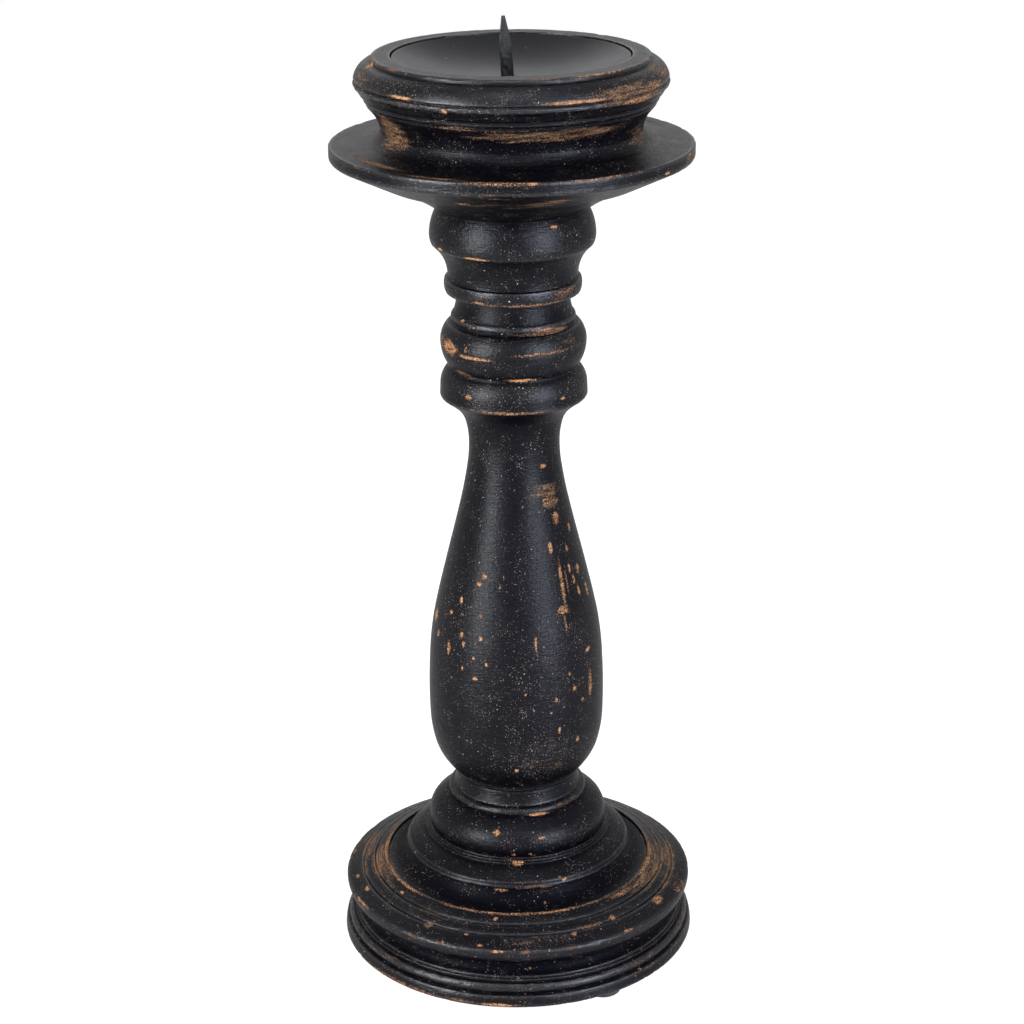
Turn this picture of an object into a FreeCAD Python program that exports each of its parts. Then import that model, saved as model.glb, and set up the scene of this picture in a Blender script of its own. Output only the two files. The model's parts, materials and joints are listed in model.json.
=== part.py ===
import FreeCAD, Part
import math
import os

import Sketcher

# Pricket candle stand: a turned and painted wooden stand in four stacked turnings (plinth, pedestal,
# column, cup), with a steel pan let into the cup, a leaning forged spike for the candle, the dowel and
# the screw that hold the turnings together, and three nailed glides underneath.
# Millimetres, +Z up, the origin on the floor under the stand's axis.

# Each turning is a row of mouldings, named from its foot up. A moulding has the radius of its upper edge
# and its height, or its drop where it runs down. A radius alone is a flat shoulder, a height alone a plain
# cylinder and both a cone. A bulge_share or hollow_share makes it an arc: the rise of the arc as a share of
# its chord. The plinth's mouldings have a reach past the pedestal's foot, which they frame, for a radius.
SIZES = {
    # Plinth
    "plinth_foot_reach": 18.6,
    "plinth_foot_arris_reach": 19.2,
    "plinth_foot_arris_height": 0.6,
    "plinth_foot_band_reach": 18.5,
    "plinth_foot_band_height": 4.4,
    "plinth_foot_band_bulge_share": 0.03,
    "plinth_foot_quirk_reach": 16.9,
    "plinth_foot_quirk_height": 0.4,
    "plinth_bead_fillet_reach": 17.1,
    "plinth_bead_fillet_height": 0.7,
    "plinth_bead_reach": 16.1,
    "plinth_bead_height": 3.5,
    "plinth_bead_bulge_share": 0.22,
    "plinth_lower_tread_reach": 15.0,
    "plinth_lower_riser_height": 1.3,
    "plinth_upper_tread_reach": 14.2,
    "plinth_upper_riser_height": 1.1,
    "plinth_cove_reach": 15.4,
    "plinth_cove_height": 7.6,
    "plinth_cove_hollow_share": 0.47,
    "plinth_bullnose_reach": 17.95,
    "plinth_bullnose_height": 5.8,
    "plinth_bullnose_bulge_share": 0.15,
    "plinth_rim_arris_reach": 17.4,
    "plinth_rim_arris_height": 0.5,
    "plinth_outer_slope_reach": 11.1,
    "plinth_outer_slope_height": 2.8,
    "plinth_outer_groove_reach": 10.6,
    "plinth_outer_groove_drop": 0.5,
    "plinth_outer_groove_lip_reach": 10.1,
    "plinth_outer_groove_lip_height": 0.95,
    "plinth_middle_slope_reach": 6.3,
    "plinth_middle_slope_height": 1.75,
    "plinth_inner_groove_reach": 5.8,
    "plinth_inner_groove_drop": 0.5,
    "plinth_inner_groove_lip_reach": 5.3,
    "plinth_inner_groove_lip_height": 0.95,
    "plinth_inner_slope_reach": 1.4,
    "plinth_inner_slope_height": 2.0,
    "plinth_lip_reach": 1.1,
    "plinth_lip_height": 0.4,
    "plinth_lip_crest_height": 0.15,
    "plinth_recess_drop": 6.0,
    # Pedestal
    "pedestal_foot_radius": 55.8,
    "pedestal_recess_clearance": 0.5,
    "pedestal_skirt_height": 5.0,
    "pedestal_cove_radius": 46.3,
    "pedestal_cove_height": 6.5,
    "pedestal_cove_hollow_share": 0.2,
    "pedestal_tier_foot_radius": 47.3,
    "pedestal_tier_foot_height": 0.3,
    "pedestal_tier_bead_radius": 47.2,
    "pedestal_tier_bead_height": 1.6,
    "pedestal_tier_bead_bulge_share": 0.15,
    "pedestal_tier_quirk_radius": 46.7,
    "pedestal_tier_quirk_height": 0.5,
    "pedestal_tier_edge_radius": 46.1,
    "pedestal_tier_edge_height": 0.9,
    "pedestal_tier_edge_bulge_share": 0.25,
    "pedestal_tier_slope_radius": 39.3,
    "pedestal_tier_slope_height": 3.9,
    "pedestal_tier_slope_bulge_share": 0.04,
    "pedestal_first_riser_height": 0.8,
    "pedestal_second_tread_radius": 38.5,
    "pedestal_second_riser_height": 0.9,
    "pedestal_third_tread_radius": 37.7,
    "pedestal_third_riser_height": 0.9,
    "pedestal_torus_foot_radius": 36.3,
    "pedestal_torus_lower_radius": 37.4,
    "pedestal_torus_lower_height": 5.4,
    "pedestal_torus_lower_bulge_share": 0.08,
    "pedestal_torus_upper_radius": 34.6,
    "pedestal_torus_upper_height": 5.2,
    "pedestal_torus_upper_bulge_share": 0.096,
    "pedestal_shoulder_radius": 29.3,
    "pedestal_shoulder_height": 3.8,
    "pedestal_shoulder_bulge_share": 0.019,
    "pedestal_seat_quirk_radius": 28.6,
    "pedestal_seat_quirk_height": 0.3,
    "pedestal_seat_bead_radius": 27.6,
    "pedestal_seat_bead_height": 3.1,
    "pedestal_seat_bead_bulge_share": 0.3,
    "pedestal_seat_arris_radius": 27.2,
    "pedestal_seat_arris_height": 0.3,
    # Column
    "column_spigot_radius": 12.0,
    "column_spigot_height": 12.0,
    "spigot_side_clearance": 0.1,
    "spigot_end_clearance": 0.4,
    "column_foot_radius": 26.9,
    "column_foot_cove_radius": 25.6,
    "column_foot_cove_height": 6.0,
    "column_foot_cove_hollow_share": 0.03,
    "column_foot_groove_radius": 25.2,
    "column_foot_groove_height": 0.2,
    "column_collar_radius": 26.0,
    "column_collar_height": 0.7,
    "column_collar_band_height": 2.1,
    "column_belly_spring_radius": 27.9,
    "column_belly_spring_height": 0.7,
    "column_belly_foot_radius": 31.6,
    "column_belly_foot_height": 5.0,
    "column_belly_foot_bulge_share": 0.018,
    "column_belly_shoulder_radius": 34.65,
    "column_belly_shoulder_height": 7.0,
    "column_belly_shoulder_bulge_share": 0.04,
    "column_belly_lower_radius": 36.35,
    "column_belly_lower_height": 11.0,
    "column_belly_lower_bulge_share": 0.026,
    "column_belly_crown_radius": 36.2,
    "column_belly_crown_height": 25.0,
    "column_belly_crown_bulge_share": 0.012,
    "column_belly_upper_radius": 34.1,
    "column_belly_upper_height": 20.0,
    "column_belly_upper_bulge_share": 0.017,
    "column_belly_turn_radius": 30.8,
    "column_belly_turn_height": 15.0,
    "column_belly_turn_bulge_share": 0.006,
    "column_taper_lower_radius": 25.85,
    "column_taper_lower_height": 20.0,
    "column_taper_lower_bulge_share": 0.002,
    "column_taper_upper_radius": 22.2,
    "column_taper_upper_height": 15.0,
    "column_taper_upper_hollow_share": 0.002,
    "column_neck_lower_radius": 19.3,
    "column_neck_lower_height": 15.0,
    "column_neck_lower_hollow_share": 0.009,
    "column_neck_throat_radius": 18.5,
    "column_neck_throat_height": 12.0,
    "column_neck_throat_hollow_share": 0.025,
    "column_neck_upper_radius": 19.8,
    "column_neck_upper_height": 8.0,
    "column_neck_upper_hollow_share": 0.03,
    "column_flare_lower_radius": 23.65,
    "column_flare_lower_height": 6.0,
    "column_flare_lower_hollow_share": 0.067,
    "column_flare_upper_radius": 29.4,
    "column_flare_upper_height": 4.4,
    "column_flare_upper_hollow_share": 0.022,
    "column_ovolo_arris_radius": 29.8,
    "column_ovolo_arris_height": 0.8,
    "column_ovolo_band_radius": 29.6,
    "column_ovolo_band_height": 4.8,
    "column_ovolo_round_radius": 26.6,
    "column_ovolo_round_height": 6.6,
    "column_ovolo_round_bulge_share": 0.095,
    "column_ovolo_quirk_radius": 26.2,
    "column_ovolo_quirk_height": 1.0,
    "column_torus_spring_radius": 26.6,
    "column_torus_spring_height": 0.8,
    "column_torus_lower_radius": 29.3,
    "column_torus_lower_height": 8.4,
    "column_torus_lower_bulge_share": 0.07,
    "column_torus_upper_radius": 26.4,
    "column_torus_upper_height": 8.2,
    "column_torus_upper_bulge_share": 0.11,
    "column_bead_quirk_radius": 25.3,
    "column_bead_quirk_height": 0.3,
    "column_bead_spring_radius": 24.6,
    "column_bead_spring_height": 0.9,
    "column_bead_radius": 24.4,
    "column_bead_height": 2.8,
    "column_bead_bulge_share": 0.18,
    "column_cap_quirk_radius": 23.9,
    "column_cap_quirk_height": 0.5,
    "column_cap_cove_radius": 22.9,
    "column_cap_cove_height": 8.2,
    "column_cap_cove_hollow_share": 0.06,
    # Cup with its drip plate
    "cup_foot_radius": 26.9,
    "cup_ring_radius": 27.2,
    "cup_ring_height": 5.6,
    "cup_ring_bulge_share": 0.08,
    "cup_ring_quirk_radius": 26.0,
    "cup_ring_quirk_height": 0.2,
    "cup_ring_fillet_height": 0.9,
    "cup_cavetto_radius": 32.0,
    "cup_cavetto_height": 12.8,
    "cup_cavetto_hollow_share": 0.113,
    "cup_torus_arris_radius": 32.3,
    "cup_torus_arris_height": 0.3,
    "cup_torus_lower_radius": 33.0,
    "cup_torus_lower_height": 4.5,
    "cup_torus_lower_bulge_share": 0.06,
    "cup_torus_upper_radius": 30.2,
    "cup_torus_upper_height": 9.6,
    "cup_torus_upper_bulge_share": 0.055,
    "cup_plate_quirk_radius": 29.8,
    "cup_plate_quirk_height": 0.5,
    "cup_plate_spring_radius": 30.9,
    "cup_plate_spring_height": 0.4,
    "cup_plate_cove_radius": 52.0,
    "cup_plate_cove_height": 10.4,
    "cup_plate_cove_hollow_share": 0.045,
    "cup_plate_underside_radius": 70.4,
    "cup_plate_underside_height": 8.8,
    "cup_plate_lower_arris_radius": 71.4,
    "cup_plate_lower_arris_height": 1.2,
    "cup_plate_lower_arris_bulge_share": 0.15,
    "cup_plate_edge_height": 4.0,
    "cup_plate_upper_arris_radius": 70.9,
    "cup_plate_upper_arris_height": 0.4,
    "cup_plate_top_radius": 57.0,
    "cup_plate_top_height": 1.3,
    "cup_plate_top_hollow_share": 0.03,
    "cup_plate_sweep_radius": 51.0,
    "cup_plate_sweep_height": 4.4,
    "cup_plate_sweep_hollow_share": 0.17,
    "cup_waist_radius": 54.8,
    "cup_waist_height": 8.3,
    "cup_waist_hollow_share": 0.08,
    "cup_waist_fillet_radius": 56.3,
    "cup_waist_fillet_height": 1.7,
    "cup_band_quirk_radius": 56.6,
    "cup_band_quirk_height": 1.2,
    "cup_band_arris_radius": 57.3,
    "cup_band_arris_height": 0.6,
    "cup_band_radius": 57.5,
    "cup_band_height": 1.6,
    "cup_ridge_radius": 58.4,
    "cup_ridge_height": 0.4,
    "cup_ridge_slope_radius": 59.4,
    "cup_ridge_slope_height": 1.6,
    "cup_rim_cove_radius": 61.0,
    "cup_rim_cove_height": 1.9,
    "cup_rim_cove_hollow_share": 0.06,
    "cup_rim_edge_radius": 61.3,
    "cup_rim_edge_height": 1.2,
    "cup_rim_groove_radius": 60.3,
    "cup_rim_groove_height": 1.0,
    "cup_ovolo_spring_radius": 61.0,
    "cup_ovolo_spring_height": 0.5,
    "cup_ovolo_radius": 54.4,
    "cup_ovolo_height": 6.5,
    "cup_ovolo_bulge_share": 0.16,
    "cup_rim_step_height": 0.5,
    "cup_rim_bead_radius": 53.1,
    "cup_rim_bead_height": 1.5,
    "cup_rim_bead_bulge_share": 0.2,
    # Pan let into the cup
    "pan_rim_radius": 46.1,
    "pan_floor_radius": 12.0,
    "pan_depth": 10.1,
    "pan_thickness": 1.0,
    "pan_rim_drop": 0.6,
    "pan_side_clearance": 0.5,
    "pan_underside_clearance": 0.3,
    # Spike: a screwed shank, a collar that clamps the pan, a round rod and four ground flats
    "spike_lean": 3.8,
    "spike_lean_depth": 19.6,
    "spike_rod_radius": 2.5,
    "spike_neck_radius": 2.45,
    "spike_reach": 24.7,
    "spike_tip_half_width": 0.52,
    "spike_flat_count": 4,
    "spike_flat_length": 15.2,
    "spike_flat_turn": 24.0,
    "spike_collar_radius": 4.5,
    "spike_collar_height": 1.2,
    "spike_collar_chamfer": 0.3,
    "spike_shank_radius": 2.2,
    "spike_shank_length": 28.0,
    "spike_shank_point": 5.0,
    "spike_shank_tip_radius": 0.4,
    "spike_pilot_clearance": 0.05,
    "spike_pan_clearance": 0.3,
    # Dowel between column and cup
    "dowel_radius": 6.0,
    "dowel_length": 50.0,
    "dowel_chamfer": 1.0,
    "dowel_side_clearance": 0.1,
    "dowel_end_clearance": 0.5,
    # Screw that draws plinth, pedestal and column together, with its washer
    "screw_head_sides": 6,
    "screw_head_width": 10.0,
    "screw_head_height": 4.0,
    "screw_shank_radius": 3.0,
    "screw_length": 90.0,
    "screw_point": 6.0,
    "screw_tip_radius": 0.5,
    "screw_end_clearance": 1.0,
    "screw_bore_clearance": 0.25,
    "screw_pilot_clearance": 0.05,
    "washer_radius": 8.0,
    "washer_thickness": 1.5,
    "washer_bore_clearance": 0.2,
    "counterbore_radius": 9.0,
    "counterbore_depth": 9.0,
    # Glides nailed under the plinth
    "pad_count": 3,
    "pad_radius": 7.5,
    "pad_height": 3.4,
    "pad_chamfer": 0.5,
    "pad_edge_margin": 1.9,
    "pad_bearing": 57.5,
    "nail_head_radius": 2.6,
    "nail_head_height": 0.8,
    "nail_head_recess": 0.4,
    "nail_shank_radius": 0.9,
    "nail_length": 12.0,
    "nail_point": 2.0,
    "nail_tip_radius": 0.15,
    "nail_side_clearance": 0.05,
    # How far a cutting shape runs past what it cuts
    "overrun": 2.0,
}

PLINTH_MOULDINGS = [
    "foot_arris", "foot_band", "foot_quirk", "bead_fillet", "bead", "lower_tread", "lower_riser",
    "upper_tread", "upper_riser", "cove", "bullnose", "rim_arris", "outer_slope", "outer_groove",
    "outer_groove_lip", "middle_slope", "inner_groove", "inner_groove_lip", "inner_slope", "lip",
]
PEDESTAL_MOULDINGS = [
    "skirt", "cove", "tier_foot", "tier_bead", "tier_quirk", "tier_edge", "tier_slope", "first_riser",
    "second_tread", "second_riser", "third_tread", "third_riser", "torus_foot", "torus_lower",
    "torus_upper", "shoulder", "seat_quirk", "seat_bead", "seat_arris",
]
COLUMN_MOULDINGS = [
    "foot_cove", "foot_groove", "collar", "collar_band", "belly_spring", "belly_foot", "belly_shoulder",
    "belly_lower", "belly_crown", "belly_upper", "belly_turn", "taper_lower", "taper_upper", "neck_lower",
    "neck_throat", "neck_upper", "flare_lower", "flare_upper", "ovolo_arris", "ovolo_band", "ovolo_round",
    "ovolo_quirk", "torus_spring", "torus_lower", "torus_upper", "bead_quirk", "bead_spring", "bead",
    "cap_quirk", "cap_cove",
]
CUP_MOULDINGS = [
    "ring", "ring_quirk", "ring_fillet", "cavetto", "torus_arris", "torus_lower", "torus_upper",
    "plate_quirk", "plate_spring", "plate_cove", "plate_underside", "plate_lower_arris", "plate_edge",
    "plate_upper_arris", "plate_top", "plate_sweep", "waist", "waist_fillet", "band_quirk", "band_arris",
    "band", "ridge", "ridge_slope", "rim_cove", "rim_edge", "rim_groove", "ovolo_spring", "ovolo",
    "rim_step", "rim_bead",
]

document = FreeCAD.newDocument("PricketCandleStand")
sheet = document.addObject("Spreadsheet::Sheet", "Sizes")
for row, (alias, size) in enumerate(SIZES.items(), start=1):
    sheet.set(f"A{row}", alias)
    sheet.set(f"B{row}", str(size))
    sheet.setAlias(f"B{row}", alias)
document.recompute()


def value(expression):
    """The present value of an expression in the sheet's sizes."""
    return float(sheet.evalExpression(expression))


def stretch(radius=None, height=None, drop=None, bulge=None, hollow=None):
    """One stretch of a turned outline: where it ends, and its arc, as expressions."""
    return {"radius": radius, "height": height, "drop": drop, "bulge": bulge, "hollow": hollow}


def mouldings(piece, names):
    """The stretches of a row of mouldings, from the sizes that the sheet has for each of them."""
    keys = {"radius": "radius", "height": "height", "drop": "drop", "bulge": "bulge_share",
            "hollow": "hollow_share"}
    rows = []
    for name in names:
        found = {part: f"Sizes.{piece}_{name}_{key}" for part, key in keys.items()
                 if f"{piece}_{name}_{key}" in SIZES}
        if f"{piece}_{name}_reach" in SIZES:
            found["radius"] = f"(Sizes.pedestal_foot_radius + Sizes.{piece}_{name}_reach)"
        rows.append(stretch(**found))
    return rows


def total_height(stretches):
    """How far the end of an outline lies above its foot, as an expression."""
    rises = [row["height"] for row in stretches if row["height"]]
    drops = [row["drop"] for row in stretches if row["drop"]]
    return "(" + " + ".join(rises) + "".join(f" - {drop}" for drop in drops) + ")"


def origin_feature(body, role):
    """A body's own origin plane or axis."""
    return next(feature for feature in body.Origin.OriginFeatures if feature.Role == role)


def new_body(label):
    """An empty body whose label names its file."""
    body = document.addObject("PartDesign::Body", label)
    body.Label = label
    return body


def new_sketch(body, name, plane):
    """A sketch on one of the body's own origin planes."""
    sketch = body.newObject("Sketcher::SketchObject", name)
    sketch.AttachmentSupport = [(origin_feature(body, plane), "")]
    sketch.MapMode = "FlatFace"
    return sketch


def place(thing, **expressions):
    """Bind parts of a placement, such as Base.z or Rotation.Angle, to expressions."""
    for key, expression in expressions.items():
        thing.setExpression("Placement." + key.replace("_", "."), expression)


def constrain(sketch, kind, *where, expression):
    """Add a dimension to a sketch and bind it to an expression."""
    index = sketch.addConstraint(Sketcher.Constraint(kind, *where, value(expression)))
    sketch.setExpression(f"Constraints[{index}]", expression)


def arc_radius(start_radius, row):
    """The radius of an arc over a stretch, from its two ends and the share that its rise is of its chord."""
    share = row["bulge"] or row["hollow"]
    chord = f"sqrt(({row['radius']} - {start_radius})^2 + ({row['height']})^2)"
    return f"{chord} * (1 / (8 * {share}) + {share} / 2)"


def arc_between(start, end, radius, bulges):
    """The arc from start to end about a centre on the axis side where it bulges, or beyond it."""
    chord = end - start
    inward = FreeCAD.Vector(-chord.y, chord.x, 0).normalize()
    if not bulges:
        inward = -inward
    to_centre = math.sqrt(radius**2 - (chord.Length / 2) ** 2)
    centre = (start + end) / 2 + inward * to_centre
    first, last = (start, end) if bulges else (end, start)
    angles = [math.atan2(point.y - centre.y, point.x - centre.x) for point in (first, last)]
    circle = Part.Circle(centre, FreeCAD.Vector(0, 0, 1), radius)
    return Part.ArcOfCircle(circle, angles[0], angles[1])


# The sketcher's own numbers for the points of a line or arc and for the axes of a sketch
START, END, CENTRE = range(1, 4)
HORIZONTAL_AXIS, VERTICAL_AXIS = range(-1, -3, -1)
ORIGIN_POINT = (HORIZONTAL_AXIS, START)


def draw_outline(sketch, foot_radius, stretches):
    """Draw half of a turned piece: out along its foot, up its side, and back to the axis at its top."""
    geometry = []
    joins = []
    sizes = []
    here = FreeCAD.Vector(value(foot_radius), 0, 0)
    geometry.append(Part.LineSegment(FreeCAD.Vector(0, 0, 0), here))
    joins.append(("Coincident", 0, START, *ORIGIN_POINT))
    joins.append(("Horizontal", 0))
    sizes.append(("DistanceX", (*ORIGIN_POINT, 0, END), foot_radius))
    leave = (0, END)
    radius = foot_radius
    for row in stretches:
        index = len(geometry)
        rise = value(row["height"]) if row["height"] else 0
        fall = value(row["drop"]) if row["drop"] else 0
        reach = value(row["radius"]) if row["radius"] else here.x
        there = FreeCAD.Vector(reach, here.y + rise - fall, 0)
        arrive = (index, START)
        onward = (index, END)
        if row["bulge"] or row["hollow"]:
            bend = arc_radius(radius, row)
            geometry.append(arc_between(here, there, value(bend), bool(row["bulge"])))
            sizes.append(("Radius", (index,), bend))
            if row["hollow"]:
                arrive, onward = onward, arrive
        else:
            geometry.append(Part.LineSegment(here, there))
        joins.append(("Coincident", *leave, *arrive))
        if row["radius"]:
            sizes.append(("DistanceX", (*ORIGIN_POINT, *onward), row["radius"]))
            radius = row["radius"]
        else:
            joins.append(("Vertical", index))
        if row["height"]:
            sizes.append(("DistanceY", (*arrive, *onward), row["height"]))
        elif row["drop"]:
            sizes.append(("DistanceY", (*onward, *arrive), row["drop"]))
        else:
            joins.append(("Horizontal", index))
        leave = onward
        here = there
    top = len(geometry)
    summit = FreeCAD.Vector(0, here.y, 0)
    geometry.append(Part.LineSegment(here, summit))
    axis = len(geometry)
    geometry.append(Part.LineSegment(summit, FreeCAD.Vector(0, 0, 0)))
    joins.append(("Coincident", *leave, top, START))
    joins.append(("Horizontal", top))
    joins.append(("PointOnObject", top, END, VERTICAL_AXIS))
    joins.append(("Coincident", top, END, axis, START))
    joins.append(("Coincident", axis, END, *ORIGIN_POINT))
    sketch.addGeometry(geometry, False)
    sketch.addConstraint([Sketcher.Constraint(*join) for join in joins])
    for kind, where, expression in sizes:
        constrain(sketch, kind, *where, expression=expression)


def turn(body, name, foot_radius, stretches):
    """Revolve an outline about the body's axis."""
    sketch = new_sketch(body, name + "_outline", "XZ_Plane")
    draw_outline(sketch, foot_radius, stretches)
    revolution = body.newObject("PartDesign::Revolution", name)
    revolution.Profile = sketch
    revolution.ReferenceAxis = (sketch, ["V_Axis"])
    sketch.Visibility = False
    document.recompute()
    return revolution


def checked_cut(body, before):
    """Stop if a cut took nothing off the body."""
    document.recompute()
    if not body.Shape.Volume < before:
        raise RuntimeError(f"a cut in {body.Label} removed nothing")


def drill(body, name, radius, depth=None, height=None, across=None, head=None):
    """Drill a round hole: up from the body's foot, or down from the height given, through it where no
    depth is given. across is the place of its axis and head the radius and depth of a counterbore."""
    before = body.Shape.Volume
    sketch = new_sketch(body, name + "_place", "XY_Plane")
    sketch.addGeometry(Part.Circle(FreeCAD.Vector(0, 0, 0), FreeCAD.Vector(0, 0, 1), value(radius)), False)
    constrain(sketch, "Radius", 0, expression=radius)
    if across:
        constrain(sketch, "DistanceX", *ORIGIN_POINT, 0, CENTRE, expression=across[0])
        constrain(sketch, "DistanceY", 0, CENTRE, *ORIGIN_POINT, expression=across[1])
    else:
        sketch.addConstraint(Sketcher.Constraint("Coincident", 0, CENTRE, *ORIGIN_POINT))
    if height:
        sketch.setExpression("AttachmentOffset.Base.z", height)
    document.recompute()
    hole = body.newObject("PartDesign::Hole", name)
    hole.Profile = sketch
    document.recompute()
    hole.Reversed = height is None
    hole.setExpression("Diameter", f"2 * ({radius})")
    hole.DrillPoint = "Flat"
    if depth:
        hole.DepthType = "Dimension"
        hole.setExpression("Depth", depth)
    else:
        hole.DepthType = "ThroughAll"
    if head:
        hole.HoleCutType = "Counterbore"
        hole.HoleCutCustomValues = True
        hole.setExpression("HoleCutDiameter", f"2 * {head[0]}")
        hole.setExpression("HoleCutDepth", head[1])
    sketch.Visibility = False
    checked_cut(body, before)
    return hole


def repeat_round(body, name, feature, count):
    """Repeat a feature round the body's axis."""
    pattern = body.newObject("PartDesign::PolarPattern", name)
    pattern.Originals = [feature]
    pattern.Axis = (origin_feature(body, "Z_Axis"), [""])
    pattern.Angle = 360
    pattern.setExpression("Occurrences", count)
    body.Tip = pattern
    document.recompute()
    return pattern


# Heights above the floor of the seats that the pieces stand on
plinth_side = mouldings("plinth", PLINTH_MOULDINGS)
recess_radius = "(Sizes.pedestal_foot_radius + Sizes.pedestal_recess_clearance)"
plinth_side.append(stretch(radius=recess_radius, height="Sizes.plinth_lip_crest_height"))
plinth_side.append(stretch(drop="Sizes.plinth_recess_drop"))
pedestal_side = mouldings("pedestal", PEDESTAL_MOULDINGS)
spigot = [stretch(height="Sizes.column_spigot_height"), stretch(radius="Sizes.column_foot_radius")]
column_side = spigot + mouldings("column", COLUMN_MOULDINGS)
cup_side = mouldings("cup", CUP_MOULDINGS)

plinth_seat = "Sizes.pad_height"
pedestal_seat = f"{plinth_seat} + {total_height(plinth_side)}"
column_foot = f"{pedestal_seat} + {total_height(pedestal_side)} - Sizes.column_spigot_height"
cup_seat = f"{column_foot} + {total_height(column_side)}"
pan_floor_in_cup = f"{total_height(cup_side)} - Sizes.pan_rim_drop - Sizes.pan_depth"
washer_seat = f"{plinth_seat} + Sizes.counterbore_depth - Sizes.washer_thickness"

# The glides stand on a circle just inside the plinth's foot
plinth_foot_radius = "(Sizes.pedestal_foot_radius + Sizes.plinth_foot_reach)"
pad_circle_radius = f"({plinth_foot_radius} - Sizes.pad_edge_margin - Sizes.pad_radius)"


def make_plinth():
    """The base disc: moulded edge, ringed top and a recess inside the lip for the pedestal."""
    body = new_body("base_plinth")
    turn(body, "plinth", plinth_foot_radius, plinth_side)
    drill(
        body,
        "plinth_screw_bore",
        "(Sizes.screw_shank_radius + Sizes.screw_bore_clearance)",
        head=("Sizes.counterbore_radius", "Sizes.counterbore_depth"),
    )
    pilot = drill(
        body,
        "plinth_nail_pilot",
        "(Sizes.nail_shank_radius + Sizes.nail_side_clearance)",
        depth="Sizes.nail_length - Sizes.pad_height + Sizes.nail_head_recess",
        across=(
            f"{pad_circle_radius} * cos(Sizes.pad_bearing)",
            f"{pad_circle_radius} * sin(Sizes.pad_bearing)",
        ),
    )
    before = body.Shape.Volume
    repeat_round(body, "plinth_nail_pilots", pilot, "Sizes.pad_count")
    checked_cut(body, before)
    place(body, Base_z=plinth_seat)
    return body


def make_pedestal():
    """The stepped foot of the column, seated in the plinth, with a socket for the column's spigot."""
    body = new_body("base_pedestal")
    turn(body, "pedestal", "Sizes.pedestal_foot_radius", pedestal_side)
    drill(body, "pedestal_screw_bore", "(Sizes.screw_shank_radius + Sizes.screw_bore_clearance)")
    drill(
        body,
        "pedestal_socket",
        "(Sizes.column_spigot_radius + Sizes.spigot_side_clearance)",
        depth="Sizes.column_spigot_height + Sizes.spigot_end_clearance",
        height=total_height(pedestal_side),
    )
    place(body, Base_z=pedestal_seat)
    return body


def make_column():
    """The baluster with its spigot below and its rings above."""
    body = new_body("column")
    turn(body, "baluster", "Sizes.column_spigot_radius", column_side)
    drill(
        body,
        "column_screw_pilot",
        "(Sizes.screw_shank_radius + Sizes.screw_pilot_clearance)",
        depth=f"{washer_seat} + Sizes.screw_length + Sizes.screw_end_clearance - ({column_foot})",
    )
    drill(
        body,
        "column_dowel_hole",
        "(Sizes.dowel_radius + Sizes.dowel_side_clearance)",
        depth="Sizes.dowel_length / 2 + Sizes.dowel_end_clearance",
        height=total_height(column_side),
    )
    place(body, Base_z=column_foot)
    return body


pan_curve = (
    "(((Sizes.pan_rim_radius - Sizes.pan_floor_radius)^2 + Sizes.pan_depth^2) / (2 * Sizes.pan_depth))"
)


def lean_placement(thing, pivot_height, distance):
    """Tip an object about the point where the spike's axis meets the stand's axis, and set it on the spike's
    axis at a distance above that point."""
    thing.Placement = FreeCAD.Placement(
        FreeCAD.Vector(0, 0, 0), FreeCAD.Rotation(FreeCAD.Vector(0, -1, 0), SIZES["spike_lean"])
    )
    place(
        thing,
        Rotation_Angle="Sizes.spike_lean",
        Base_x=f"-({distance}) * sin(Sizes.spike_lean)",
        Base_z=f"{pivot_height} + ({distance}) * cos(Sizes.spike_lean)",
    )


# The spike's collar touches the pan's floor with the edge on the side that it leans to
collar_seat = (
    "((Sizes.spike_lean_depth + Sizes.spike_collar_radius * sin(Sizes.spike_lean)) / cos(Sizes.spike_lean))"
)


def bore_along_spike(body, name, radius, pan_floor, below):
    """Cut a round hole on the spike's axis, from a distance below its collar to past its collar."""
    before = body.Shape.Volume
    bore = body.newObject("PartDesign::SubtractiveCylinder", name)
    bore.setExpression("Radius", radius)
    bore.setExpression("Height", f"{below} + Sizes.overrun")
    lean_placement(bore, f"{pan_floor} - Sizes.spike_lean_depth", f"{collar_seat} - ({below})")
    checked_cut(body, before)


def make_cup():
    """The top turning: ring, cavetto and torus, the wide drip plate, and the cup with its dished recess."""
    body = new_body("candle_cup")
    turn(body, "cup", "Sizes.cup_foot_radius", cup_side)
    drill(
        body,
        "cup_dowel_hole",
        "(Sizes.dowel_radius + Sizes.dowel_side_clearance)",
        depth="Sizes.dowel_length / 2 + Sizes.dowel_end_clearance",
    )
    before = body.Shape.Volume
    sketch = new_sketch(body, "pan_recess_outline", "XZ_Plane")
    draw_pan_recess(sketch)
    groove = body.newObject("PartDesign::Groove", "pan_recess")
    groove.Profile = sketch
    groove.ReferenceAxis = (sketch, ["V_Axis"])
    sketch.Visibility = False
    checked_cut(body, before)
    bore_along_spike(
        body,
        "cup_spike_pilot",
        "Sizes.spike_shank_radius + Sizes.spike_pilot_clearance",
        pan_floor_in_cup,
        "Sizes.spike_shank_length + Sizes.spike_pilot_clearance",
    )
    place(body, Base_z=cup_seat)
    return body


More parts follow.
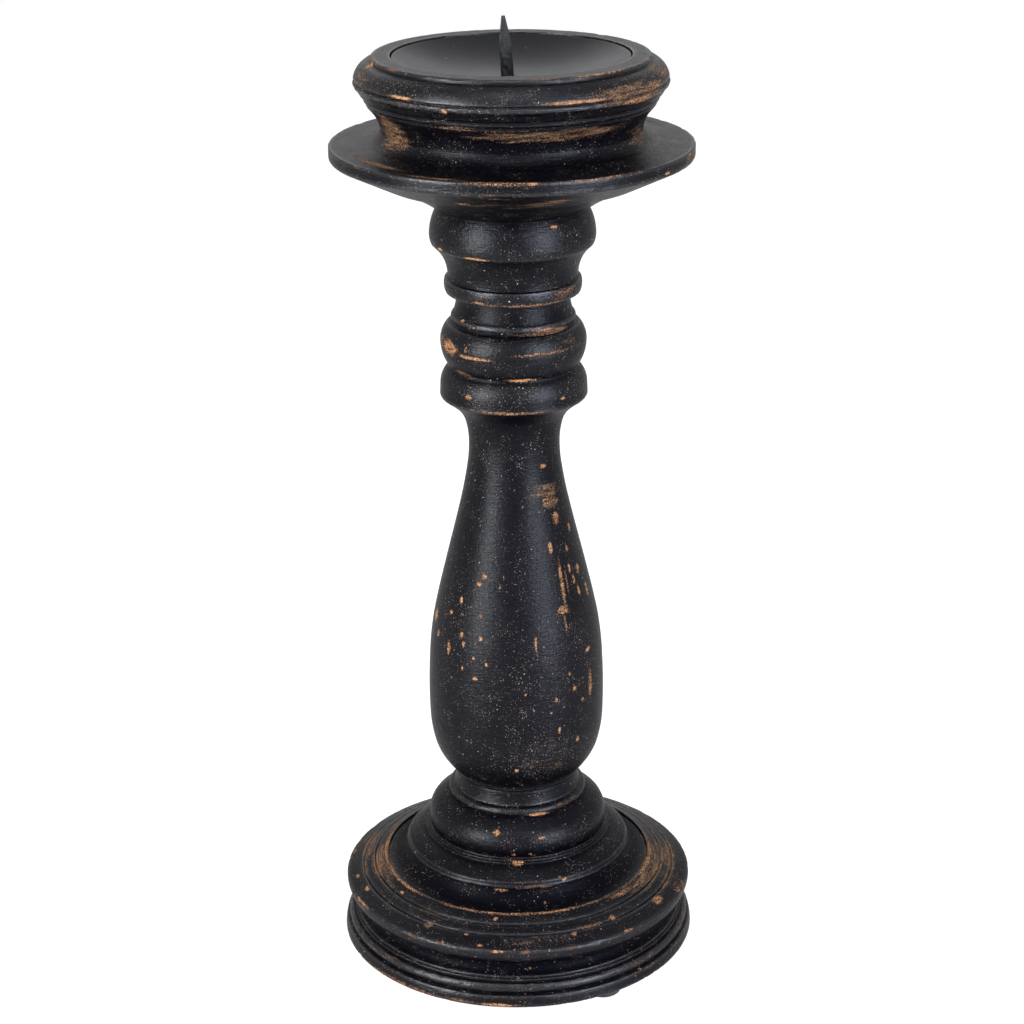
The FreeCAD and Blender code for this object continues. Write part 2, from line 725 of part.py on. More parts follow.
def draw_pan_recess(sketch):
    """The recess follows the pan's underside: a flat land under the pan's floor, then an arc that keeps
    clear of the pan, and a straight wall up through the rim."""
    land_height = f"{pan_floor_in_cup} - Sizes.pan_thickness"
    centre_rise = f"{pan_curve} + Sizes.pan_thickness"
    sweep_radius = f"{centre_rise} + Sizes.pan_underside_clearance"
    wall_radius = "Sizes.pan_rim_radius + Sizes.pan_side_clearance"
    lid_height = f"{total_height(cup_side)} + Sizes.overrun"
    land = value(land_height)
    arc = value(sweep_radius)
    centre = FreeCAD.Vector(value("Sizes.pan_floor_radius"), land + value(centre_rise), 0)
    wall = value(wall_radius)
    land_edge = centre.x + math.sqrt(arc**2 - (centre.y - land) ** 2)
    wall_foot = centre.y - math.sqrt(arc**2 - (wall - centre.x) ** 2)
    top = value(lid_height)
    corners = [
        FreeCAD.Vector(0, land, 0),
        FreeCAD.Vector(land_edge, land, 0),
        FreeCAD.Vector(wall, wall_foot, 0),
        FreeCAD.Vector(wall, top, 0),
        FreeCAD.Vector(0, top, 0),
    ]
    angles = [math.atan2(point.y - centre.y, point.x - centre.x) for point in corners[1:3]]
    circle = Part.Circle(centre, FreeCAD.Vector(0, 0, 1), arc)
    floor, sweep, side, lid = range(len(corners) - 1)
    sketch.addGeometry(
        [
            Part.LineSegment(corners[0], corners[1]),
            Part.ArcOfCircle(circle, angles[0], angles[1]),
            Part.LineSegment(corners[2], corners[3]),
            Part.LineSegment(corners[3], corners[4]),
            Part.LineSegment(corners[4], corners[0]),
        ],
        False,
    )
    joins = [("Coincident", line, END, (line + 1) % len(corners), START) for line in range(len(corners))]
    joins += [
        ("Horizontal", floor),
        ("Vertical", side),
        ("Horizontal", lid),
        ("PointOnObject", floor, START, VERTICAL_AXIS),
        ("PointOnObject", lid, END, VERTICAL_AXIS),
    ]
    sketch.addConstraint([Sketcher.Constraint(*join) for join in joins])
    constrain(sketch, "DistanceY", *ORIGIN_POINT, floor, START, expression=land_height)
    constrain(sketch, "DistanceX", *ORIGIN_POINT, sweep, CENTRE, expression="Sizes.pan_floor_radius")
    constrain(sketch, "DistanceY", floor, START, sweep, CENTRE, expression=centre_rise)
    constrain(sketch, "Radius", sweep, expression=sweep_radius)
    constrain(sketch, "DistanceX", *ORIGIN_POINT, side, START, expression=wall_radius)
    constrain(sketch, "DistanceY", *ORIGIN_POINT, lid, END, expression=lid_height)


def draw_pan(sketch):
    """Half of the pan: a flat floor that runs tangent into one arc up to the rim, of one thickness."""
    floor_radius = value("Sizes.pan_floor_radius")
    rim_radius = value("Sizes.pan_rim_radius")
    thickness = value("Sizes.pan_thickness")
    curve = value(pan_curve)
    centre = FreeCAD.Vector(floor_radius, thickness + curve, 0)
    rim_foot = centre.y - math.sqrt((curve + thickness) ** 2 - (rim_radius - centre.x) ** 2)
    rim_top = value("Sizes.pan_thickness + Sizes.pan_depth")
    corners = [
        FreeCAD.Vector(0, 0, 0),
        FreeCAD.Vector(floor_radius, 0, 0),
        FreeCAD.Vector(rim_radius, rim_foot, 0),
        FreeCAD.Vector(rim_radius, rim_top, 0),
        FreeCAD.Vector(floor_radius, thickness, 0),
        FreeCAD.Vector(0, thickness, 0),
    ]

    def arc_to_rim(radius, point):
        circle = Part.Circle(centre, FreeCAD.Vector(0, 0, 1), radius)
        return Part.ArcOfCircle(circle, -math.pi / 2, math.atan2(point.y - centre.y, point.x - centre.x))

    underside, lower, rim, upper, floor, axis = range(len(corners))
    sketch.addGeometry(
        [
            Part.LineSegment(corners[0], corners[1]),
            arc_to_rim(curve + thickness, corners[2]),
            Part.LineSegment(corners[2], corners[3]),
            arc_to_rim(curve, corners[3]),
            Part.LineSegment(corners[4], corners[5]),
            Part.LineSegment(corners[5], corners[0]),
        ],
        False,
    )
    joins = [
        ("Coincident", underside, START, *ORIGIN_POINT),
        ("Horizontal", underside),
        ("Coincident", underside, END, lower, START),
        ("Coincident", lower, END, rim, START),
        ("Vertical", rim),
        ("Coincident", rim, END, upper, END),
        ("Coincident", upper, CENTRE, lower, CENTRE),
        ("Coincident", upper, START, floor, START),
        ("Horizontal", floor),
        ("PointOnObject", floor, END, VERTICAL_AXIS),
        ("Coincident", floor, END, axis, START),
        ("Coincident", axis, END, *ORIGIN_POINT),
    ]
    sketch.addConstraint([Sketcher.Constraint(*join) for join in joins])
    constrain(sketch, "DistanceX", *ORIGIN_POINT, underside, END, expression="Sizes.pan_floor_radius")
    constrain(sketch, "DistanceX", *ORIGIN_POINT, lower, CENTRE, expression="Sizes.pan_floor_radius")
    constrain(sketch, "Radius", lower, expression=f"{pan_curve} + Sizes.pan_thickness")
    constrain(sketch, "Radius", upper, expression=pan_curve)
    constrain(sketch, "DistanceX", *ORIGIN_POINT, rim, START, expression="Sizes.pan_rim_radius")
    constrain(sketch, "DistanceX", *ORIGIN_POINT, floor, START, expression="Sizes.pan_floor_radius")


def make_pan():
    """The pressed steel pan that catches the wax, pierced for the spike."""
    body = new_body("candle_pan")
    sketch = new_sketch(body, "pan_outline", "XZ_Plane")
    draw_pan(sketch)
    revolution = body.newObject("PartDesign::Revolution", "pan")
    revolution.Profile = sketch
    revolution.ReferenceAxis = (sketch, ["V_Axis"])
    sketch.Visibility = False
    document.recompute()
    bore_along_spike(
        body,
        "pan_spike_hole",
        "Sizes.spike_shank_radius + Sizes.spike_pan_clearance",
        "Sizes.pan_thickness",
        "Sizes.pan_thickness + Sizes.overrun",
    )
    place(body, Base_z=f"{cup_seat} + {pan_floor_in_cup} - Sizes.pan_thickness")
    return body


def make_spike():
    """The pricket: a screwed shank, a collar on the pan, a round rod, and a point ground on four sides."""
    body = new_body("spike")
    side = [
        stretch(radius="Sizes.spike_shank_radius", height="Sizes.spike_shank_point"),
        stretch(height="(Sizes.spike_shank_length - Sizes.spike_shank_point)"),
        stretch(radius="Sizes.spike_collar_radius"),
        stretch(height="(Sizes.spike_collar_height - Sizes.spike_collar_chamfer)"),
        stretch(
            radius="(Sizes.spike_collar_radius - Sizes.spike_collar_chamfer)",
            height="Sizes.spike_collar_chamfer",
        ),
        stretch(radius="Sizes.spike_rod_radius"),
        stretch(
            radius="Sizes.spike_neck_radius",
            height="(Sizes.spike_reach - Sizes.spike_collar_height - Sizes.spike_flat_length)",
        ),
        stretch(height="Sizes.spike_flat_length"),
    ]
    turn(body, "spike_turning", "Sizes.spike_shank_tip_radius", side)
    before = body.Shape.Volume
    sketch = new_sketch(body, "spike_flat_outline", "XZ_Plane")
    draw_spike_flat(sketch, total_height(side))
    sketch.AttachmentOffset = FreeCAD.Placement(
        FreeCAD.Vector(0, 0, 0), FreeCAD.Rotation(FreeCAD.Vector(0, -1, 0), SIZES["spike_flat_turn"])
    )
    sketch.setExpression("AttachmentOffset.Rotation.Angle", "Sizes.spike_flat_turn")
    pocket = body.newObject("PartDesign::Pocket", "spike_flat")
    pocket.Profile = sketch
    pocket.Type = "Length"
    pocket.setExpression("Length", "2 * (Sizes.spike_rod_radius + Sizes.overrun)")
    pocket.Midplane = True
    sketch.Visibility = False
    checked_cut(body, before)
    before = body.Shape.Volume
    repeat_round(body, "spike_flats", pocket, "Sizes.spike_flat_count")
    checked_cut(body, before)
    lean_placement(
        body,
        f"{cup_seat} + {pan_floor_in_cup} - Sizes.spike_lean_depth",
        f"{collar_seat} - Sizes.spike_shank_length",
    )
    return body


def draw_spike_flat(sketch, tip):
    """What one ground flat takes off: all that lies outside a line from the rod's side to the tip."""
    rod = value("Sizes.spike_neck_radius")
    outside = value("Sizes.spike_neck_radius + Sizes.overrun")
    half_width = value("Sizes.spike_tip_half_width")
    start_height = value(f"{tip} - Sizes.spike_flat_length")
    tip_height = value(tip)
    over = value(f"{tip} + Sizes.overrun")
    corners = [
        FreeCAD.Vector(rod, start_height, 0),
        FreeCAD.Vector(outside, start_height, 0),
        FreeCAD.Vector(outside, over, 0),
        FreeCAD.Vector(half_width, over, 0),
        FreeCAD.Vector(half_width, tip_height, 0),
    ]
    foot, outer, lid, inner, flat = range(len(corners))
    sketch.addGeometry(
        [Part.LineSegment(corners[line], corners[(line + 1) % len(corners)]) for line in range(len(corners))],
        False,
    )
    joins = [("Coincident", line, END, (line + 1) % len(corners), START) for line in range(len(corners))]
    joins += [("Horizontal", foot), ("Vertical", outer), ("Horizontal", lid), ("Vertical", inner)]
    sketch.addConstraint([Sketcher.Constraint(*join) for join in joins])
    constrain(sketch, "DistanceX", *ORIGIN_POINT, foot, START, expression="Sizes.spike_neck_radius")
    constrain(sketch, "DistanceX", foot, START, outer, START, expression="Sizes.overrun")
    constrain(sketch, "DistanceX", *ORIGIN_POINT, flat, START, expression="Sizes.spike_tip_half_width")
    constrain(sketch, "DistanceY", *ORIGIN_POINT, flat, START, expression=tip)
    constrain(sketch, "DistanceY", foot, START, flat, START, expression="Sizes.spike_flat_length")
    constrain(sketch, "DistanceY", flat, START, lid, START, expression="Sizes.overrun")


def make_dowel():
    """The dowel that joins the cup to the column."""
    body = new_body("neck_dowel")
    end_radius = "(Sizes.dowel_radius - Sizes.dowel_chamfer)"
    side = [
        stretch(radius="Sizes.dowel_radius", height="Sizes.dowel_chamfer"),
        stretch(height="(Sizes.dowel_length - 2 * Sizes.dowel_chamfer)"),
        stretch(radius=end_radius, height="Sizes.dowel_chamfer"),
    ]
    turn(body, "dowel", end_radius, side)
    place(body, Base_z=f"{cup_seat} - Sizes.dowel_length / 2")
    return body


def make_screw():
    """The hexagon-headed wood screw that holds the base together from below."""
    body = new_body("base_screw")
    side = [
        stretch(height="(Sizes.screw_head_height + Sizes.screw_length - Sizes.screw_point)"),
        stretch(radius="Sizes.screw_tip_radius", height="Sizes.screw_point"),
    ]
    turn(body, "screw_shank", "Sizes.screw_shank_radius", side)
    head = body.newObject("PartDesign::AdditivePrism", "screw_head")
    head.setExpression("Polygon", "Sizes.screw_head_sides")
    head.setExpression("Circumradius", "Sizes.screw_head_width / (2 * cos(180 / Sizes.screw_head_sides))")
    head.setExpression("Height", "Sizes.screw_head_height")
    place(body, Base_z=f"{washer_seat} - Sizes.screw_head_height")
    return body


def make_washer():
    """The washer under the screw's head."""
    body = new_body("base_screw_washer")
    sketch = new_sketch(body, "washer_outline", "XY_Plane")
    rings = ["Sizes.washer_radius", "Sizes.screw_shank_radius + Sizes.washer_bore_clearance"]
    for index, radius in enumerate(rings):
        sketch.addGeometry(Part.Circle(FreeCAD.Vector(0, 0, 0), FreeCAD.Vector(0, 0, 1), value(radius)), False)
        sketch.addConstraint(Sketcher.Constraint("Coincident", index, CENTRE, *ORIGIN_POINT))
        constrain(sketch, "Radius", index, expression=radius)
    pad = body.newObject("PartDesign::Pad", "washer")
    pad.Profile = sketch
    pad.setExpression("Length", "Sizes.washer_thickness")
    sketch.Visibility = False
    place(body, Base_z=washer_seat)
    return body


def pad_angle(number):
    """The direction of a glide from the stand's axis."""
    return f"({number} * 360 / Sizes.pad_count - Sizes.pad_bearing)"


def make_pad(number):
    """A round glide with a sunk hole for its nail."""
    body = new_body(f"foot_pad_{number + 1}")
    tread_radius = "(Sizes.pad_radius - Sizes.pad_chamfer)"
    side = [
        stretch(radius="Sizes.pad_radius", height="Sizes.pad_chamfer"),
        stretch(height="(Sizes.pad_height - Sizes.pad_chamfer)"),
    ]
    turn(body, f"pad_{number + 1}", tread_radius, side)
    drill(
        body,
        f"pad_{number + 1}_nail_hole",
        "(Sizes.nail_shank_radius + Sizes.nail_side_clearance)",
        head=(
            "(Sizes.nail_head_radius + Sizes.nail_side_clearance)",
            "Sizes.nail_head_height + Sizes.nail_head_recess",
        ),
    )
    place(
        body,
        Base_x=f"{pad_circle_radius} * cos({pad_angle(number)})",
        Base_y=f"{pad_circle_radius} * sin({pad_angle(number)})",
    )
    return body


def make_nail(number):
    """One glide's nail, with its head sunk in the glide."""
    nail_shank = "(Sizes.nail_length - Sizes.nail_head_height - Sizes.nail_point)"
    side = [
        stretch(height="Sizes.nail_head_height"),
        stretch(radius="Sizes.nail_shank_radius"),
        stretch(height=nail_shank),
        stretch(radius="Sizes.nail_tip_radius", height="Sizes.nail_point"),
    ]
    body = new_body(f"nail_{number + 1}")
    turn(body, f"nail_{number + 1}_turning", "Sizes.nail_head_radius", side)
    place(
        body,
        Base_x=f"{pad_circle_radius} * cos({pad_angle(number)})",
        Base_y=f"{pad_circle_radius} * sin({pad_angle(number)})",
        Base_z="Sizes.nail_head_recess",
    )
    return body


def make_nails():
    """The three nails as one group of separate solids."""
    group = document.addObject("Part::Compound", "pad_nails")
    group.Label = "pad_nails"
    group.Links = [make_nail(number) for number in range(SIZES["pad_count"])]
    return group


pieces = [
    make_plinth(),
    make_pedestal(),
    make_column(),
    make_cup(),
    make_pan(),
    make_spike(),
    make_dowel(),
    make_screw(),
    make_washer(),
    *[make_pad(number) for number in range(SIZES["pad_count"])],
    make_nails(),
]
document.recompute()

for thing in document.Objects:
    if "Invalid" in thing.State or "Error" in thing.State:
        raise RuntimeError(f"{thing.Label} failed: {thing.State}")
    if thing.TypeId == "Sketcher::SketchObject" and not thing.FullyConstrained:
        raise RuntimeError(f"{thing.Label} is not fully constrained")
for piece in pieces:
    if piece.Shape.isNull() or not piece.Shape.isValid():
        raise RuntimeError(f"{piece.Label} has no sound shape")

os.makedirs("parts", exist_ok=True)
for piece in pieces:
    piece.Shape.exportStep(os.path.join("parts", piece.Label + ".step"))
    box = piece.Shape.BoundBox
    print(f"{piece.Label}: {len(piece.Shape.Solids)} solid, z {box.ZMin:.2f} to {box.ZMax:.2f}, "
          f"{piece.Shape.Volume:.0f} cubic mm")
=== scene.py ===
import json
import math

import bpy
import numpy as np
from mathutils import Matrix, Vector


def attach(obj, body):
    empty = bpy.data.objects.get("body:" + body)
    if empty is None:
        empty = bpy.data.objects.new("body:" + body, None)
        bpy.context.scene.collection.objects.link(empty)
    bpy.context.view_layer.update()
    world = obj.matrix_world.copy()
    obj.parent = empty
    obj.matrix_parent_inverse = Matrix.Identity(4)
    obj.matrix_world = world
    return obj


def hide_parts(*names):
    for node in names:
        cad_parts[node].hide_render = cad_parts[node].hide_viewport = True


# Looks of the pricket candle stand: four turnings in worn black paint, a steel pan, a forged spike,
# the hardware inside, a pale floor, four softboxes and the photograph's camera.
# Metres, +Z up, the origin on the floor under the stand's axis.

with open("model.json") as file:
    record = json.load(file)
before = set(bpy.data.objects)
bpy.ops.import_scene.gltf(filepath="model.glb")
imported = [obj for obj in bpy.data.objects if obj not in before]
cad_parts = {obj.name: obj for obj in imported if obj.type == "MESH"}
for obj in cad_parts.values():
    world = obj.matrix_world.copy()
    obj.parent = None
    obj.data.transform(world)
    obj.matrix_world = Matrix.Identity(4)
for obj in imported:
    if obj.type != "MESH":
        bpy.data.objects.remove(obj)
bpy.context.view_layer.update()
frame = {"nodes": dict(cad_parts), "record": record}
nodes = frame["nodes"]
scene = bpy.context.scene

MM = 0.001
TINY = 1e-9
ON_AXIS = 1e-7


# Turned outlines in millimetres from each piece's foot up. A row is the radius where the moulding ends
# (None for the same radius), its rise, and for an arc the share that its bulge (or its hollow, below 0)
# is of its chord.
PLINTH = [
    (75, 0.6), (74.3, 4.4, 0.03), (72.7, 0.4), (72.9, 0.7), (71.9, 3.5, 0.22), (70.8, 0), (None, 1.3),
    (70, 0), (None, 1.1), (71.2, 7.6, -0.47), (73.75, 5.8, 0.15), (73.2, 0.5), (66.9, 2.8),
    (66.4, -0.5), (65.9, 0.95), (62.1, 1.75), (61.6, -0.5), (61.1, 0.95), (57.2, 2), (56.9, 0.4),
]
PEDESTAL = [
    (None, 5), (46.3, 6.5, -0.2), (47.3, 0.3), (47.2, 1.6, 0.15), (46.7, 0.5), (46.1, 0.9, 0.25),
    (39.3, 3.9, 0.04), (None, 0.8), (38.5, 0), (None, 0.9), (37.7, 0), (None, 0.9), (36.3, 0),
    (37.4, 5.4, 0.08), (34.6, 5.2, 0.096), (29.3, 3.8, 0.019), (28.6, 0.3), (27.6, 3.1, 0.3),
    (27.2, 0.3),
]
COLUMN = [
    (25.6, 6, -0.03), (25.2, 0.2), (26, 0.7), (None, 2.1), (27.9, 0.7), (31.6, 5, 0.018),
    (34.65, 7, 0.04), (36.35, 11, 0.026), (36.2, 25, 0.012), (34.1, 20, 0.017), (30.8, 15, 0.006),
    (25.85, 20, 0.002), (22.2, 15, -0.002), (19.3, 15, -0.009), (18.5, 12, -0.025), (19.8, 8, -0.03),
    (23.65, 6, -0.067), (29.4, 4.4, -0.022), (29.8, 0.8), (29.6, 4.8), (26.6, 6.6, 0.095), (26.2, 1),
    (26.6, 0.8), (29.3, 8.4, 0.07), (26.4, 8.2, 0.11), (25.3, 0.3), (24.6, 0.9), (24.4, 2.8, 0.18),
    (23.9, 0.5), (22.9, 8.2, -0.06),
]
CUP = [
    (27.2, 5.6, 0.08), (26, 0.2), (None, 0.9), (32, 12.8, -0.113), (32.3, 0.3), (33, 4.5, 0.06),
    (30.2, 9.6, 0.055), (29.8, 0.5), (30.9, 0.4), (52, 10.4, -0.045), (70.4, 8.8), (71.4, 1.2, 0.15),
    (None, 4), (70.9, 0.4), (57, 1.3, -0.03), (51, 4.4, -0.17), (54.8, 8.3, -0.08), (56.3, 1.7),
    (56.6, 1.2), (57.3, 0.6), (57.5, 1.6), (58.4, 0.4), (59.4, 1.6), (61, 1.9, -0.06), (61.3, 1.2),
    (60.3, 1), (61, 0.5), (54.4, 6.5, 0.16), (None, 0.5), (53.1, 1.5, 0.2),
]


def span(a, b, share=0.0, step=0.1):
    """Points from a to b, both (radius, height), along a line or along an arc of that rise per chord."""
    a, b = np.array(a, float), np.array(b, float)
    chord = np.linalg.norm(b - a)
    count = max(2, int(chord / step) + 1)
    t = np.linspace(0, 1, count)
    line = a + np.outer(t, b - a)
    if not share:
        return line
    along = (b - a) / chord
    out = np.array([along[1], -along[0]])
    rise = abs(share) * chord
    bend = chord**2 / (8 * rise) + rise / 2
    half = math.asin(min(1, chord / 2 / bend))
    angle = (2 * t - 1) * half
    x = chord / 2 + bend * np.sin(angle)
    y = (np.cos(angle) - math.cos(half)) * bend * (1 if share > 0 else -1)
    return a + np.outer(x, along) + np.outer(y, out)


def outline(foot, rows):
    """The fine points of a row of mouldings that starts at foot, (radius, height)."""
    here = foot
    points = [np.array([foot], float)]
    for row in rows:
        there = (here[0] if row[0] is None else row[0], here[1] + row[1])
        points.append(span(here, there, row[2] if len(row) > 2 else 0)[1:])
        here = there
    return np.vstack(points), here


def through(*corners):
    """Fine points along straight runs."""
    runs = [span(a, b)[:-1] for a, b in zip(corners, corners[1:])]
    return np.vstack(runs + [np.array([corners[-1]], float)])


def even(points, step, closed):
    """The same line with points at an even distance."""
    if closed:
        points = np.vstack([points, points[:1]])
    run = np.r_[0, np.cumsum(np.linalg.norm(np.diff(points, axis=0), axis=1))]
    keep = np.r_[True, np.diff(run) > TINY]
    run, points = run[keep], points[keep]
    at = np.linspace(0, run[-1], int(run[-1] / step) + 1)
    return np.stack([np.interp(at, run, points[:, k]) for k in (0, 1)], -1)[:-1 if closed else None]


def blur(values, width, closed):
    """Gaussian smoothing along a line; width in points."""
    reach = int(4 * width)
    kernel = np.exp(-0.5 * (np.arange(-reach, reach + 1) / width) ** 2)
    kernel /= kernel.sum()
    mode = "wrap" if closed else "edge"
    return np.stack([np.convolve(np.pad(c, reach, mode=mode), kernel, "valid") for c in values.T], -1)


def thin(points, tolerance, longest, closed):
    """The indices of the points that keep the line within the tolerance, no further apart than longest."""
    keep = {0, len(points) - 1}
    stack = [(0, len(points) - 1)]
    if closed:
        middle = len(points) // 2
        keep.add(middle)
        stack = [(0, middle), (middle, len(points) - 1)]
    while stack:
        first, last = stack.pop()
        if last - first < 2:
            continue
        a, b = points[first], points[last]
        d = b - a
        length = np.linalg.norm(d)
        inner = points[first + 1:last] - a
        if length > TINY:
            off = np.abs(inner[:, 0] * d[1] - inner[:, 1] * d[0]) / length
        else:
            off = np.linalg.norm(inner, axis=1)
        worst = int(np.argmax(off))
        if off[worst] > tolerance or length > longest:
            cut = first + 1 + worst if off[worst] > tolerance else (first + last) // 2
            keep.add(cut)
            stack += [(first, cut), (cut, last)]
    return sorted(keep)


# In millimetres: the distance between fine points, how far corners are worn round, how near and how wide
# the surroundings are that make a point proud or hollow, and what thinning out may lose or leave open.
FINE = 0.05
ROUNDING = 0.22
NEAR = 0.8
WIDE = 3.0
THINNING = 0.012
LONGEST = 0.62


def soften(points, closed):
    """An outline with its corners worn round and thinned out. With it go the way out at each point, how
    proud the point stands of its near surroundings and how hollow its wider ones are."""
    fine = even(points, FINE, closed)
    soft = blur(fine, ROUNDING / FINE, closed)
    near = blur(fine, NEAR / FINE, closed)
    wide = blur(fine, WIDE / FINE, closed)
    if not closed:
        soft[0], soft[-1] = fine[0], fine[-1]
    tangent = np.gradient(soft, axis=0)
    out = np.stack([tangent[:, 1], -tangent[:, 0]], -1)
    out /= np.maximum(np.linalg.norm(out, axis=1, keepdims=True), TINY)
    proud = ((soft - near) * out).sum(1)
    hollow = ((wide - soft) * out).sum(1)
    index = thin(soft, THINNING, LONGEST, closed)
    if closed:
        index = index[:-1]
    return soft[index], (out[index], proud[index], hollow[index])


def lathe(name, points, kept, segments, closed, shift):
    """A turned mesh about the stand's axis. A point on the axis becomes a pole. Returns the mesh's object,
    its vertices and the values kept with the outline's points, spread over the vertices."""
    radii, heights = points[:, 0] * MM, (points[:, 1] + shift) * MM
    poles = [] if closed else [i for i in (0, len(points) - 1) if radii[i] < ON_AXIS]
    rings = [i for i in range(len(points)) if i not in poles]
    turn = np.linspace(0, 2 * math.pi, segments, endpoint=False)
    vertices = np.vstack([
        np.stack([radii[i] * np.cos(turn), radii[i] * np.sin(turn), np.full(segments, heights[i])], -1)
        for i in rings
    ])
    ring_of = {i: k * segments for k, i in enumerate(rings)}
    faces = []
    pairs = list(zip(rings, rings[1:]))
    if closed:
        pairs.append((rings[-1], rings[0]))
    across = np.arange(segments)
    beside = (across + 1) % segments
    for a, b in pairs:
        low, high = ring_of[a], ring_of[b]
        faces += np.stack([low + across, low + beside, high + beside, high + across], -1).tolist()
    tops = []
    for pole in poles:
        index = len(vertices) + len(tops)
        tops.append((0.0, 0.0, heights[pole]))
        ring = ring_of[rings[0] if pole == 0 else rings[-1]]
        for k in range(segments):
            corner = (ring + int(across[k]), ring + int(beside[k]))
            faces.append((index, corner[1], corner[0]) if pole == 0 else (index, corner[0], corner[1]))
    if tops:
        vertices = np.vstack([vertices, np.array(tops)])
    mesh = bpy.data.meshes.new(name)
    mesh.from_pydata(vertices.tolist(), [], faces)
    mesh.update()
    mesh.shade_smooth()
    spread = []
    for values in kept:
        rows = np.repeat(values[rings], segments, axis=0)
        spread.append(np.concatenate([rows, np.zeros((len(vertices) - len(rows),) + rows.shape[1:])]))
    piece = bpy.data.objects.new(name, mesh)
    scene.collection.objects.link(piece)
    return piece, vertices, spread


def keep_values(piece, **layers):
    """Store numbers for each vertex, which the materials read by name."""
    for name, values in layers.items():
        layer = piece.data.attributes.new(name, "FLOAT", "POINT")
        layer.data.foreach_set("value", np.ascontiguousarray(values, np.float32))


# The sizes of the feet, holes, joints and the pan, in millimetres. Holes are given by radius and depth.
PAD_HEIGHT = 3.4
PLINTH_FOOT, PEDESTAL_FOOT, COLUMN_FOOT = 74.4, 55.8, 26.9
RECESS_RADIUS, RECESS_LIP, RECESS_DEPTH = 55.85, 0.15, 6.0
SCREW_HOLE = 3.25
COUNTERBORE, COUNTERBORE_DEPTH = 9.0, 9.0
PILOT, PILOT_DEPTH = 3.05, 43.2
TENON, TENON_LENGTH = 12.0, 12.0
SOCKET, SOCKET_DEPTH = 12.1, 12.4
DOWEL_HOLE, DOWEL_DEPTH = 6.1, 25.5
PAN_FLAT, PAN_RIM, PAN_DEPTH, PAN_SINK, SHEET = 12.0, 46.1, 10.1, 0.6, 1.0
PAN_RECESS, RECESS_SHEET = 46.6, 1.3
PAN_SEGMENTS = 320

plinth_z = PAD_HEIGHT
plinth_line, lip = outline((PLINTH_FOOT, 0), PLINTH)
recess = (RECESS_RADIUS, lip[1] + RECESS_LIP)
seat = recess[1] - RECESS_DEPTH
pedestal_z = plinth_z + seat
pedestal_line, pedestal_top = outline((PEDESTAL_FOOT, 0), PEDESTAL)
column_z = pedestal_z + pedestal_top[1] - TENON_LENGTH
column_line, column_top = outline((COLUMN_FOOT, TENON_LENGTH), COLUMN)
cup_z = column_z + column_top[1]
cup_line, cup_top = outline((COLUMN_FOOT, 0), CUP)
pan_floor = cup_top[1] - PAN_SINK - PAN_DEPTH
PAN_ARC = ((PAN_RIM - PAN_FLAT) ** 2 + PAN_DEPTH**2) / (2 * PAN_DEPTH)
pan_rise = pan_floor + PAN_ARC

plinth_points = np.vstack([
    through((SCREW_HOLE, COUNTERBORE_DEPTH), (COUNTERBORE, COUNTERBORE_DEPTH), (COUNTERBORE, 0.0),
            (PLINTH_FOOT, 0.0))[:-1],
    plinth_line[:-1],
    through(lip, recess, (recess[0], seat), (SCREW_HOLE, seat), (SCREW_HOLE, COUNTERBORE_DEPTH))[:-1],
])
pedestal_points = np.vstack([
    through((SCREW_HOLE, 0.0), (PEDESTAL_FOOT, 0.0))[:-1],
    pedestal_line[:-1],
    through(pedestal_top, (SOCKET, pedestal_top[1]), (SOCKET, pedestal_top[1] - SOCKET_DEPTH),
            (SCREW_HOLE, pedestal_top[1] - SOCKET_DEPTH), (SCREW_HOLE, 0.0))[:-1],
])
column_points = np.vstack([
    through((0.0, PILOT_DEPTH), (PILOT, PILOT_DEPTH), (PILOT, 0.0), (TENON, 0.0), (TENON, TENON_LENGTH),
            (COLUMN_FOOT, TENON_LENGTH))[:-1],
    column_line[:-1],
    through(column_top, (DOWEL_HOLE, column_top[1]), (DOWEL_HOLE, column_top[1] - DOWEL_DEPTH),
            (0.0, column_top[1] - DOWEL_DEPTH)),
])


def dish(arc, angles):
    """Points of an arc about the middle of the pan's curve."""
    return np.stack([PAN_FLAT + arc * np.sin(angles), pan_rise - arc * np.cos(angles)], -1)


recess_arc = PAN_ARC + RECESS_SHEET
sweep = np.linspace(math.asin(min(1, (PAN_RECESS - PAN_FLAT) / recess_arc)),
                    math.acos((PAN_ARC + SHEET) / recess_arc), 120)
recess_points = dish(recess_arc, sweep)
cup_points = np.vstack([
    through((0.0, DOWEL_DEPTH), (DOWEL_HOLE, DOWEL_DEPTH), (DOWEL_HOLE, 0.0), (COLUMN_FOOT, 0.0))[:-1],
    cup_line[:-1],
    through(cup_top, (PAN_RECESS, cup_top[1]), tuple(recess_points[0]))[:-1],
    recess_points[:-1],
    through(tuple(recess_points[-1]), (0.0, pan_floor - SHEET)),
])
above = np.linspace(0, math.asin((PAN_RIM - PAN_FLAT) / PAN_ARC), 160)
under = np.linspace(math.asin((PAN_RIM - PAN_FLAT) / (PAN_ARC + SHEET)), 0, 160)
pan_points = np.vstack([
    through((0.0, pan_floor - SHEET), (PAN_FLAT, pan_floor - SHEET))[:-1],
    dish(PAN_ARC + SHEET, under[::-1]),
    dish(PAN_ARC, above[::-1]),
    through((PAN_FLAT, pan_floor), (0.0, pan_floor))[1:],
])

# Each turning's outline, the height it stands at, its segments round the axis and
# whether it has a through hole.
TURNINGS = {
    "base_plinth": (plinth_points, plinth_z, 512, True),
    "base_pedestal": (pedestal_points, pedestal_z, 384, True),
    "column": (column_points, column_z, 384, False),
    "candle_cup": (cup_points, cup_z, 512, False),
}


